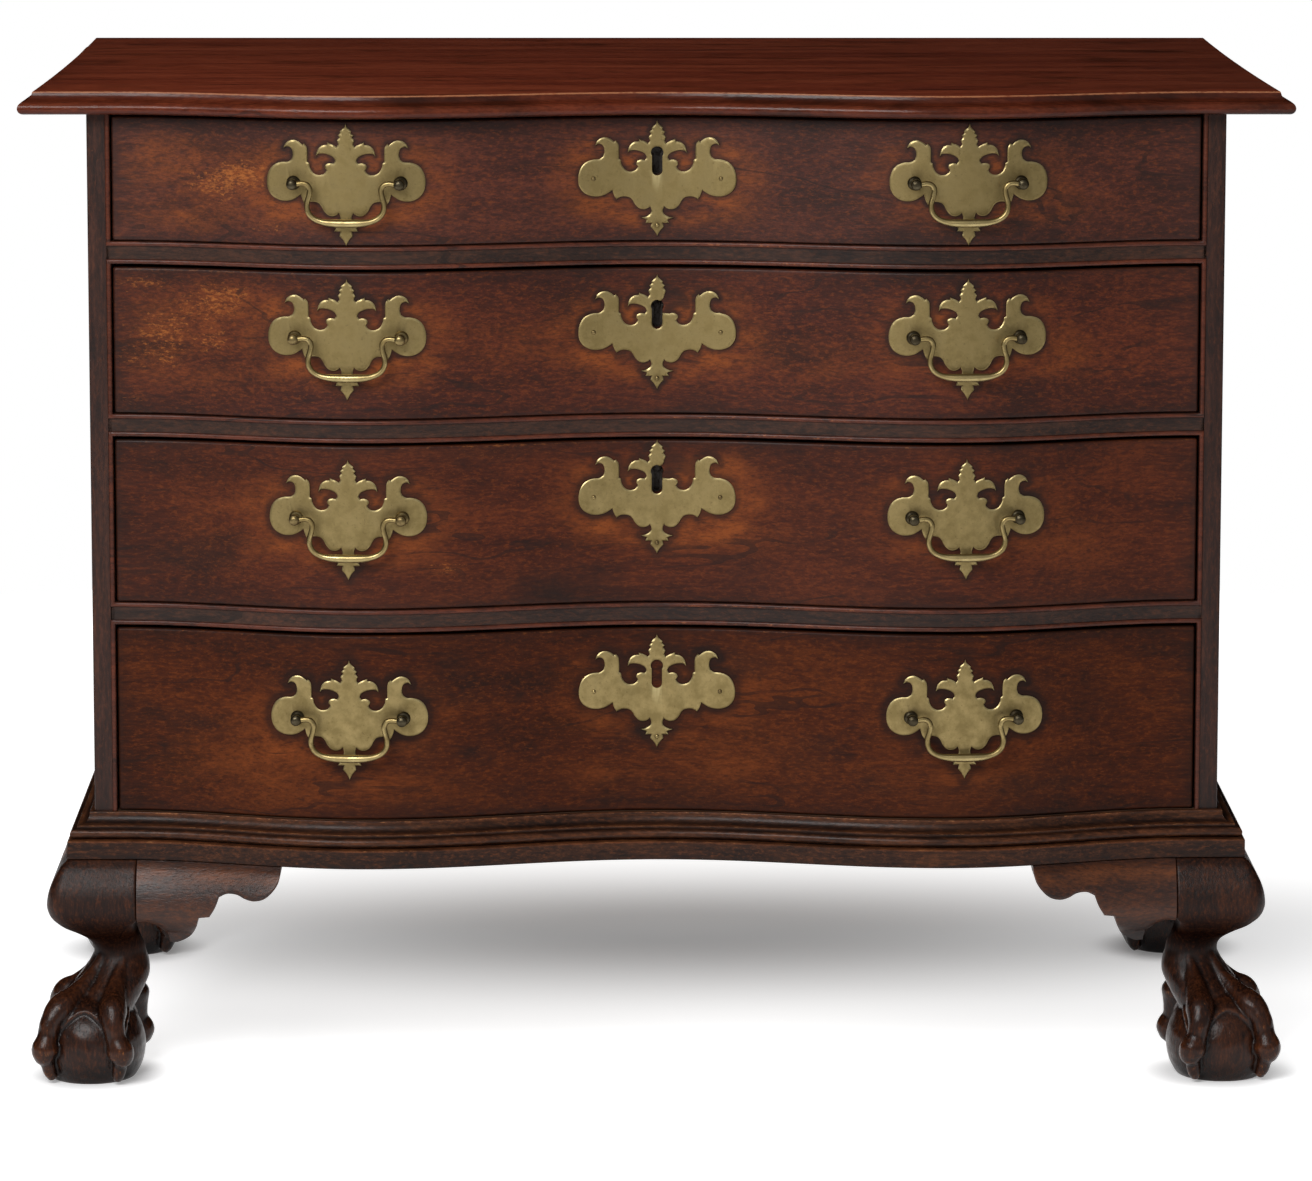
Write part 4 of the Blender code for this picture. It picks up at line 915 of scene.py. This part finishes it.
def carved(mesh):
    """The mark of the gouge on a foot: its surface moved along its normals by three crossed waves, 7 to 10 mm
    long and 0.05 mm high, that die out above the ankle."""
    at = points_of(mesh)
    wave = sum(np.sin(at @ way + start) for way, start in GOUGE)
    depth = GOUGE_DEPTH * wave * held((GOUGE_TOP - at[:, 2]) / GOUGE_FADE) * held(at[:, 2] / GOUGE_FOOT)
    return moved(mesh, at + depth[:, None] * points_of(mesh, "normal"))


def leg_form():
    """Shank, ball, web and talons grown into one surface by a 1.1 mm voxel grid, eased, then carved."""
    parts = [leg_shank(), foot_ball(), foot_web()]
    parts += [talon(top, low, REAR_TALON if low == 180 else 1.0) for top, low in TALON_TURNS]
    return carved(worked(mesh_from("leg_form", parts), ("REMESH", {"mode": "VOXEL", "voxel_size": VOXEL}),
                         ("SMOOTH", {"factor": 0.5, "iterations": 5})))


def leg_marks(mesh):
    """Dirt in the hollows and near the floor, painted shade under the knee, wear on the ridges of the talons
    and their knuckles, shine on the foot and none under the knee."""
    deep = hollows(mesh)
    z = points_of(mesh)[:, 2]
    foot = held((0.108 - z) / 0.03)
    ridge = foot * held(-deep / 0.00009)
    knuckle, under = bell(z, 0.032, 0.012), bell(z, 0.117, 0.020)
    floor = np.exp(-(z / 0.014) ** 4)
    # Painted shade under the knee; the rest of this mark is dirt
    return {"grime": deep / 0.00006 + 0.9 * floor + 0.8 * under + 0.3 * foot * (1 - knuckle),
            "wear": np.clip(ridge - 0.1, 0, 0.40), "fade": ridge * (0.35 + 0.4 * knuckle),
            "polish": foot + DULLEST * under}


def corner_of(side, end):
    """The corner of the base moulding over a leg, and the two directions inward from it."""
    if end == "front":
        return side * FACE, FRONT_Y - BASE_PROJECTION, -side, 1
    return side * FACE, BACK_Y - REAR_LEG_SET, -side, -1


def placed(mesh, side, end):
    """A copy of a leg turned to its corner."""
    x, y, inward_x, inward_y = corner_of(side, end)
    made = mesh.copy()
    made.transform(Matrix.Translation((x, y, 0)) @ Matrix.Diagonal((inward_x, inward_y, 1, 1)))
    if inward_x * inward_y < 0:
        made.flip_normals()
    return made


def knee_bracket(side, end, along_front):
    """A bracket: at each distance from the leg the knee's profile is carried down to the scrolled lower
    edge."""
    x, y, inward_x, inward_y = corner_of(side, end)
    along, drop = flowing(BRACKET_EDGE, 6, True).T / 1000
    keep = np.concatenate(([True], np.diff(along) > 1e-5))
    reach = KNEE_BLOCK + SEAT + np.maximum.accumulate(along[keep])[:, None]
    drop = np.maximum(drop[keep], 2 * SEAT)[:, None]
    down = SEAT + (drop - SEAT) * np.linspace(0, 1, 26)
    face = np.where(down > BRACKET_FROM, np.maximum(knee_face(down), BRACKET_LEAST), knee_face(down))
    out = BRACKET_ARRIS * np.exp(-(drop - down) / BRACKET_ARRIS) - face
    out = np.pad(out, ((0, 0), (0, 2)), constant_values=BRACKET_THICKNESS)
    z = base_low.z - np.concatenate((down, drop, np.full_like(drop, SEAT)), 1)
    if along_front:
        at = x + inward_x * reach
        return [skin(xyz(at, front_line(at) - BASE_PROJECTION + out, z))]
    return [skin(xyz(x + inward_x * out, y + inward_y * reach, z))]


def bracket_marks(mesh):
    """Painted shade under the base moulding and toward the lower edge, thinner varnish between."""
    drop = base_low.z - points_of(mesh)[:, 2]
    # Painted shade under the base moulding and toward the lower edge
    return {"grime": 0.8 * np.exp(-drop / 0.003) + 0.5 * held((drop - 0.035) / 0.03),
            "fade": 0.8 * bell(drop, 0.009, 0.007) + 0.4 * bell(drop, 0.042, 0.012)}


leg = leg_form()
for label, side in SIDES:
    for end in ("front", "rear"):
        piece(f"cabriole_leg_{end}_{label}", placed(leg, side, end), leg_wood, "case",
              (f"leg_{end}_{label}",), 80, leg_marks)
        piece(f"bracket_{end}_{label}_side", knee_bracket(side, end, False), bracket_wood, "case",
              (f"knee_bracket_{end}_{label}_side",), 35, bracket_marks)
    piece(f"bracket_front_{label}", knee_bracket(side, "front", True), bracket_wood, "case",
          (f"knee_bracket_front_{label}",), 35, bracket_marks)


# Drawers
def keyhole(low, high, lift, grow=0.0):
    """A keyhole's outline, a round head over a slot with a round foot, carried through from y low to y
    high."""
    head, slot = KEYHOLE_RADIUS + grow, KEYHOLE_SLOT + grow
    spread = math.asin(slot / head)
    a, b = np.linspace(-np.pi / 2 + spread, 1.5 * np.pi - spread, 25), arc(180, 360, 13)
    x = np.concatenate((head * np.cos(a), slot * np.cos(b)))
    z = lift + np.concatenate((KEYHOLE_TOP + head * np.sin(a), KEYHOLE_FOOT + slot * np.sin(b)))
    return skin([xyz(x, y, z) for y in (low, high)])


def fine_steps(low, high, coarse, spans, fine):
    """Numbers from low to high: coarse steps, and fine ones over the given spans."""
    steps = np.linspace(low, high, int((high - low) / coarse) + 1)
    for start, stop in spans:
        start, stop = max(start, low + fine), min(stop, high - fine)
        inside = np.linspace(start, stop, int((stop - start) / fine) + 1)
        steps = np.concatenate((steps[(steps < start - fine / 2) | (steps > stop + fine / 2)], inside))
    return np.sort(steps)


def drawer_front(low, high, pull, lift):
    """A rounded section carried along the front line; it draws in at the ends, where the corners are worn
    round. The steps are fine behind the brasses, so that the marks follow their outlines."""
    r, tall, s = FRONT_CORNER, high - low, FRONT_ARRIS
    end = DRAWER_HALF - ARRIS
    turn, fillet = np.radians((12, 28, 45, 62, 78, 90)), arc(0, 90, 7)[1:]
    behind = [(at - FINE_ASIDE, at + FINE_ASIDE) for at in (-PULL_X, 0, PULL_X)]
    core = fine_steps(-(end - r), end - r, FRONT_STEP, behind, FINE_ACROSS)
    tip, shrink = end - r + r * np.sin(turn), r * (1 - np.cos(turn))
    x = np.concatenate((-tip[::-1], core, tip))[:, None]
    draw = np.concatenate((shrink[::-1], 0 * core, shrink))[:, None]
    behind = [(min(pull, lift) - FINE_BELOW, max(pull, lift) + FINE_ABOVE)]
    up = fine_steps(r, tall - r, FRONT_STEP, behind, FINE_UP)
    rise, back = r * np.sin(fillet), r - r * np.cos(fillet)
    height = np.concatenate((up, tall - r + rise, (tall, tall - s, s, 0), (r - rise)[::-1]))
    depth = np.concatenate((0 * up, back, FRONT_THICKNESS - np.array((s, 0, 0, s)), back[::-1]))
    middle = tall / 2
    z = low + middle + (height - middle) * (1 - END_SHARE * draw / middle)
    return [skin(xyz(x, front_line(x) + depth + draw * held(1 - depth / END_DEPTH), z))]


def plate_outline(drop, broken=False):
    """The closed outline of a brass plate about its post line, its pendant drawn to the given drop. A broken
    one has lost a side leaf."""
    whole = flowing(PLATE_HALF, 4, True)
    half = flowing(BROKEN_HALF, 4, True) if broken else whole
    line = np.concatenate((half, whole[-2:0:-1] * (-1, 1))) / 1000
    line[:, 1] *= np.where(line[:, 1] < 0, drop / PULL_DROP, 1)
    return line


def front_marks(low, high, pull, lift, kept, reach, share):
    """Darker toward the edges, dirt and a painted contact shadow close round each brass, thinned varnish
    beyond it, wear and a painted highlight along the upper edge, then the drawer's own marks: each a bell in
    x and z."""
    def marks(mesh):
        x, _, z = points_of(mesh).T
        edge = np.minimum(np.minimum(z - low, high - z), DRAWER_HALF - np.abs(x))
        grime = 0.6 * np.exp(-edge / 0.004) + 0.5 * np.exp(-edge / 0.022)
        # Wear and a painted highlight along the upper edge
        wear = 0.42 * bell(z, high - 0.0015, 0.0012)
        fade = np.zeros_like(x)
        for at_x, at_z, drop, warm in ((-PULL_X, low + pull, PULL_DROP, share),
                                       (PULL_X, low + pull, PULL_DROP, RIGHT_PULL_FADE * share),
                                       (0, low + lift, ESCUTCHEON_DROP, share)):
            near = np.flatnonzero((np.abs(x - at_x) < 0.120) & (np.abs(z - at_z) < 0.070))
            dx, dz = x[near] - at_x, z[near] - at_z
            line = plate_outline(drop)[::2]
            away = np.hypot(dx[:, None] - line[:, 0], dz[:, None] - line[:, 1]).min(axis=1)
            # Dirt and a painted contact shadow close round the brass
            grime[near] += 1.7 * bell(away, 0, reach)
            fade[near] += 0.3 * warm * bell(away, 0, 0.0075)
            for across, up, wide, tall, thin in BRASS_FADE:
                fade[near] += thin * warm * bell(1000 * np.abs(dx), across, wide) * bell(1000 * dz, up, tall)
        for at, wide, part, tall, fleck, thin, dirt in kept:
            spot = bell(1000 * x, at, wide) * bell(1000 * (z - low - part * (high - low)), 0, tall)
            wear, fade, grime = wear + fleck * spot, fade + thin * spot, grime + dirt * spot
        return {"grime": grime, "wear": wear, "fade": fade * (1 - np.exp(-edge / 0.012))}
    return marks


DRAWERS = list(zip((1, 2, 3, 4), FRONTS, PULL_HEIGHTS, PLATE_HEIGHTS))
for n, (low, high), pull, lift in DRAWERS:
    shape = mesh_from("front", drawer_front(low, high, pull, lift))
    if n < 4:
        lock_low, lock_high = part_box(f"drawer_{n}_lock")
        recess = block(lock_low - Vector((SEAT, SEAT, SEAT)), lock_high + Vector((SEAT, 0.02, 0.02)),
                       ARRIS / 2)
        shape = cut(cut(shape, recess), keyhole(FRONT_Y - 0.03, lock_low.y + 0.001, low + lift, SEAT))
    piece(f"bowed_front_{n}", shape, drawer_woods[n - 1], f"drawer_{n}", (f"drawer_{n}_front",), 40,
          front_marks(low, high, pull, lift, MARKS[n - 1], *HALO[n - 1]))
BARE = {"back_board_lower": pine_across, "back_board_upper": pine_across, "case_bottom": pine_dark}
for n in (1, 2, 3, 4):
    BARE |= {f"drawer_{n}_box": pine_deep, f"drawer_{n}_floor": pine_across}
for n in (1, 2, 3):
    BARE |= {f"drawer_{n}_lock": iron, f"drawer_{n}_bolt": iron}
for name, finish in BARE.items():
    frame["nodes"][name].material_slots[0].material = finish


# Brasses
def set_in(outline, distance):
    """A closed outline moved inward along its normals by a distance, or by half the radius of the largest
    circle inside it there, where that is less."""
    before = outline - np.roll(outline, 1, 0)
    after = np.roll(outline, -1, 0) - outline
    sides = [side / np.maximum(np.linalg.norm(side, axis=1, keepdims=True), 1e-9) for side in (before, after)]
    mean = (sides[0] + sides[1])[:, ::-1] * (1, -1)
    mean /= np.maximum(np.linalg.norm(mean, axis=1, keepdims=True), 1e-6)
    gap = outline[None] - outline[:, None]
    ahead = np.sum(gap * mean[:, None], axis=-1)
    reach = np.sum(gap ** 2, axis=-1) / np.maximum(2 * ahead, 1e-9)
    reach = np.where(ahead > 1e-7, reach, np.inf).min(axis=1)
    return outline + mean * np.minimum(distance, 0.5 * reach)[:, None]


def flat_plate(drop, hole, broken=False):
    """A plate before it is bent, its back on y = 0: the outline carried forward to a bevel, which runs up to
    a rolled edge, and a flat face. It is cut into 4 mm strips so that it can bend."""
    outline = plate_outline(drop, broken)
    rings = []
    for inset, rise in ((0, 0), (0, PLATE_EDGE), (PLATE_BEVEL, PLATE_THICKNESS - PLATE_DISH),
                        (PLATE_ROLL, PLATE_THICKNESS)):
        x, z = (set_in(outline, inset) if inset else outline).T
        rings.append(xyz(x, -rise, z))
    plate = mesh_from("plate", [skin(rings)])
    strips = bmesh.new()
    strips.from_mesh(plate)
    bmesh.ops.triangulate(strips, faces=strips.faces)
    for x in np.arange(-LAST_STRIP, LAST_STRIP + STRIP / 2, STRIP):
        whole = strips.verts[:] + strips.edges[:] + strips.faces[:]
        bmesh.ops.bisect_plane(strips, geom=whole, dist=1e-6, plane_co=(x, 0, 0), plane_no=(1, 0, 0))
    strips.to_mesh(plate)
    strips.free()
    return cut(plate, keyhole(-0.01, 0.01, 0)) if hole else plate


def bent(plate, centre, height):
    """A flat plate laid along the front line at a centre and a height."""
    at = points_of(plate) + (centre, -SEAT, height)
    at[:, 1] += front_line(at[:, 0])
    return moved(plate.copy(), at)


def plate_marks(centres):
    """A painted highlight on the bevels that look up, painted shade on those that look down, and tarnish
    round each post or pin.
    """
    def marks(mesh):
        x, y, z = points_of(mesh).T
        lean = points_of(mesh, "normal")[:, 2]
        rise = front_line(x) - SEAT - y
        grime = sum(0.8 * bell(np.hypot(x - at_x, z - at_z), 0, reach) for at_x, at_z, reach in centres)
        # Painted highlight on the bevels that look up, painted shade on those that look down
        return {"rub": np.clip(0.8 * lean, 0, 0.5) * (rise > PLATE_EDGE / 2),
                "grime": grime + np.clip(-0.9 * lean, 0, 0.6)}
    return marks


def pull_line(side, height):
    """The two post heads of a pull, on the line that its bail swings about, and the direction of that
    line."""
    x = side * PULL_X + np.array((-0.5, 0.5)) * POST_SPACING
    heads = xyz(x, front_line(x) - SEAT - PLATE_THICKNESS - POST_REACH, height)
    axis = heads[1] - heads[0]
    return heads, axis / np.linalg.norm(axis)


def posts(side, height):
    """The two turned posts of a pull, each with its shank through the front and a square nut behind."""
    heads, axis = pull_line(side, height)
    inward = np.array((-axis[1], axis[0], 0))
    through, r = PLATE_THICKNESS + FRONT_THICKNESS, SHANK_RADIUS
    shank = ((0, r), (through + SHANK_END, r), (through + SHANK_END + ARRIS, 0.7 * r))
    nut = ((0, NUT * 1.3), (0.0004, NUT * 1.4), (0.0026, NUT * 1.4), (0.0030, NUT * 1.25))
    skins = []
    for head in heads:
        for back, profile, sides in ((0, np.array(POST) / 1000, 28), (POST_REACH, shank, 16),
                                     (POST_REACH + through + NUT_GAP, nut, 4)):
            skins.append(turned(head + inward * back, inward, profile, sides))
    return skins


def bail(side, height):
    """A rod along a swan-neck path, thin at its pins and stout at the grip."""
    half = flowing(BAIL_HALF, 8) / 1000
    path = np.concatenate((half, half[-2::-1] * (-1, 1)))
    heads, axis = pull_line(side, height)
    at = heads.mean(axis=0) + path[:, :1] * axis + path[:, 1:] * (0, 0, 1)
    arm = held((ARM_X - np.abs(path[:, 0])) / ARM_EASE)
    grip = np.exp(-(path[:, 0] / GRIP_X) ** 4) * (path[:, 1] < GRIP_TOP)
    radius = BAIL_PIN + (BAIL_ARM - BAIL_PIN) * arm + (BAIL_GRIP - BAIL_ARM) * grip
    return [rod(at, np.gradient(at, axis=0), (axis[1], -axis[0], 0), radius, 18)]


def bail_marks(mesh):
    """Polish on the grip."""
    z = points_of(mesh)[:, 2]
    return {"rub": 0.25 * bell(z, z.min(), 0.006)}


def pins(height):
    """The three small nails of an escutcheon: domes at both lobes and the pendant."""
    dome = arc(0, 88, 8)
    profile = [(0.002, 0.0008), (0, 0.0017), *zip(-PIN_RISE * np.sin(dome), PIN_RADIUS * np.cos(dome))]
    skins = []
    for x, z in PIN_PLACES:
        slope = (front_line(x + 0.001) - front_line(x - 0.001)) / 0.002
        start = (x, front_line(x) - SEAT - PLATE_THICKNESS, height + z)
        skins.append(turned(start, (-slope, 1, 0), profile, 18))
    return skins


pull_plate = flat_plate(PULL_DROP, False)
key_plate = flat_plate(ESCUTCHEON_DROP, True)
broken_key_plate = flat_plate(ESCUTCHEON_DROP, False, True)
for n, (low, _), pull, lift in DRAWERS:
    pull, lift, drawer = low + pull, low + lift, f"drawer_{n}"
    plate = broken_key_plate if n in (2, 3) else key_plate
    piece(f"key_plate_{n}", bent(plate, 0, lift), plate_brass, drawer, (f"{drawer}_escutcheon",), 25,
          plate_marks([(x, lift + z, 0.0035) for x, z in PIN_PLACES]))
    piece(f"key_plate_pins_{n}", pins(lift), post_brass, drawer, (), 40)
    for label, side in SIDES:
        heads = [(side * PULL_X + s * POST_SPACING / 2, pull, 0.0075) for s in (-1, 1)]
        piece(f"pull_plate_{n}_{label}", bent(pull_plate, side * PULL_X, pull), plate_brass, drawer,
              (f"{drawer}_pull_plate_{label}",), 25, plate_marks(heads))
        brass = post_brass if label == "left" and n in (2, 3) else post_dark
        piece(f"pull_posts_{n}_{label}", posts(side, pull), brass, drawer, (), 40)
        piece(f"bail_{n}_{label}", bail(side, pull), bail_brass, f"{drawer}_bail_{label}",
              (f"{drawer}_bail_{label}",), 60, bail_marks)


# Fixings: heads of nails and screws, as (distance out of the face, radius)
NAIL = ((-0.003, 0.001), (-0.0002, 0.0032), (0.0004, 0.0034), (0.0008, 0.0026), (0.0010, 0.0001))
SCREW = ((-0.003, 0.001), (-0.0004, 0.0030), (0.0002, 0.0032), (0.0007, 0.0024), (0.0009, 0.0001))
NAIL_EDGE, NAIL_END, NAIL_X = 0.006, 0.03, 0.15
SCREW_EDGE, SCREW_TOP = 0.007, 0.012


def heads_on(face, across, up, profile):
    """Round heads on a rear face, at each place across and up."""
    return [turned((x, face, z), (0, 1, 0), profile, 14) for x in across for z in up]


for label in ("lower", "upper"):
    low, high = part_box(f"back_board_{label}")
    across = (low.x + NAIL_EDGE, -NAIL_X, NAIL_X, high.x - NAIL_EDGE)
    up = (low.z + NAIL_END, (low.z + high.z) / 2, high.z - NAIL_END)
    piece(f"back_nails_{label}", heads_on(high.y, across, up, NAIL), iron, "case", (), 40)
for n in (1, 2, 3):
    low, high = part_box(f"drawer_{n}_lock")
    across, up = (low.x + SCREW_EDGE, high.x - SCREW_EDGE), (low.z + SCREW_EDGE, high.z - SCREW_TOP)
    piece(f"lock_screws_{n}", heads_on(high.y, across, up, SCREW), iron, f"drawer_{n}", (), 40)

# Floor, light and camera
FLOOR_RADIUS = 2.2
FLOOR_SIDES = 96
# The floor's glow for the eye, low in the painted shadow under the chest and full on open floor, and the
# middle of a painted contact shadow round each foot
FLOOR_GLOW = (0.06, 0.72)
FOOT_PLACE = (FACE - FOOT_CENTRE, BASE_PROJECTION - FOOT_CENTRE - FRONT_Y, 0)
SURROUND = (0.22, 0.55)
SHINE = (0.5, 0.0)
LAMP_PLACE, LAMP_AIM = Vector((-1.2, -2.9, 2.4)), Vector((0, 0, 0.45))
LAMP_WIDTH, LAMP_HEIGHT, LAMP_POWER = 1.9, 1.4, 95
# Camera: focal length, picture width and the lens axis less the picture's centre, all in pixels of the photo
FOCAL, WIDTH, AXIS_X, AXIS_Y = 6259.1, 1312, -22.4, -131.2
SENSOR = 36.0
CAMERA_TURN = (-8.547, 0.870, 0.072)
CAMERA_PLACE = (-0.0583, -5.2, 1.2533)


def white_floor():
    """A round white floor that keeps the shadow and grows white with distance; its glow is cut to a painted
    shadow, darkest under the chest, and to painted contact shadows round the feet.
    """
    turn = circle(FLOOR_SIDES)
    mesh = bpy.data.meshes.new("floor")
    rim = xyz(FLOOR_RADIUS * np.cos(turn), FLOOR_RADIUS * np.sin(turn), 0)
    mesh.from_pydata(rim.tolist(), [], [list(range(FLOOR_SIDES))])
    paper, node, shader = new_finish("white_paper")
    tree = shader.id_data
    tree.nodes.remove(shader)
    path = tree.nodes.new("ShaderNodeLightPath").outputs
    seen = node("Math", (path["Is Camera Ray"], path["Is Glossy Ray"]), operation="MAXIMUM")
    seen = node("Math", (seen, path["Is Transmission Ray"]), operation="MAXIMUM")
    place = node("TexCoord", out="Object")
    # Painted shadow: the glow dims in an ellipse under and behind the chest, and round each foot
    under = node("Mapping", {"Vector": place, "Location": (-0.01, -0.31, 0), "Scale": (0.38, 1, 1)})
    under, away = (node("VectorMath", (at,), "Value", operation="LENGTH") for at in (under, place))
    foot = node("VectorMath", (place,), operation="ABSOLUTE")
    foot = node("VectorMath", (foot, FOOT_PLACE), "Value", operation="DISTANCE")
    glow, foot = (node("MapRange", values, interpolation_type="SMOOTHSTEP")
                  for values in ((under, 0.03, 0.34, *FLOOR_GLOW), (foot, 0.035, 0.072, 0.35)))
    far = node("MapRange", (away, 1.0, 1.8))
    for other, how in ((foot, "MULTIPLY"), (far, "MAXIMUM"), (seen, "MULTIPLY")):
        glow = node("Math", (glow, other), operation=how)
    matt = node("BsdfDiffuse", {"Color": (0.90, 0.90, 0.905, 1)})
    white = node("Emission", {"Color": (1, 1, 1, 1), "Strength": glow})
    feed(tree.nodes["Material Output"], {"Surface": node("AddShader", (matt, white))})
    mesh.materials.append(paper)
    shown("floor", mesh)


def surround():
    """A surround that is white to the eye, lights more from behind, and shines only from the front."""
    world = bpy.data.worlds.new("surround")
    bpy.context.scene.world = world
    world.use_nodes = True
    node = partial(add, world.node_tree)
    path = world.node_tree.nodes.new("ShaderNodeLightPath").outputs
    depth = node("SeparateXYZ", {0: node("TexCoord", out="Generated")}, "Y")
    soft, shine = (node("MapRange", (depth, *values))
                   for values in ((-0.6, 0.6, *SURROUND), (-0.5, 0.05, *SHINE)))
    strength = node("Mix", {0: path["Is Glossy Ray"], 2: soft, 3: shine})
    seen = node("Math", (path["Is Camera Ray"], path["Is Transmission Ray"]), operation="MAXIMUM")
    strength = node("Mix", {0: seen, 2: strength, 3: 1.0})
    feed(world.node_tree.nodes["Background"], {"Color": (1, 1, 1, 1), "Strength": strength})


white_floor()
surround()

# One large soft lamp at the upper left of the front
lamp = bpy.data.lights.new("softbox", "AREA")
lamp.shape, lamp.size, lamp.size_y, lamp.energy = "RECTANGLE", LAMP_WIDTH, LAMP_HEIGHT, LAMP_POWER
softbox = shown("softbox", lamp)
softbox.location = LAMP_PLACE
softbox.rotation_euler = (LAMP_AIM - LAMP_PLACE).to_track_quat("-Z", "Y").to_euler()

camera = bpy.data.cameras.new("camera")
camera.sensor_width = SENSOR
camera.lens = FOCAL * SENSOR / WIDTH
camera.shift_x, camera.shift_y = AXIS_X / WIDTH, AXIS_Y / WIDTH
pitch, yaw, roll = np.radians(CAMERA_TURN)
forward = Vector((math.sin(yaw) * math.cos(pitch), math.cos(yaw) * math.cos(pitch), math.sin(pitch)))
level = Vector((math.cos(yaw), -math.sin(yaw), 0))
above = level.cross(forward)
right = level * math.cos(roll) + above * math.sin(roll)
up = above * math.cos(roll) - level * math.sin(roll)
view = shown("camera", camera)
view.matrix_world = Matrix.Translation(CAMERA_PLACE) @ Matrix((right, up, -forward)).transposed().to_4x4()
bpy.context.scene.camera = view
bpy.context.scene.view_settings.view_transform = "Standard"
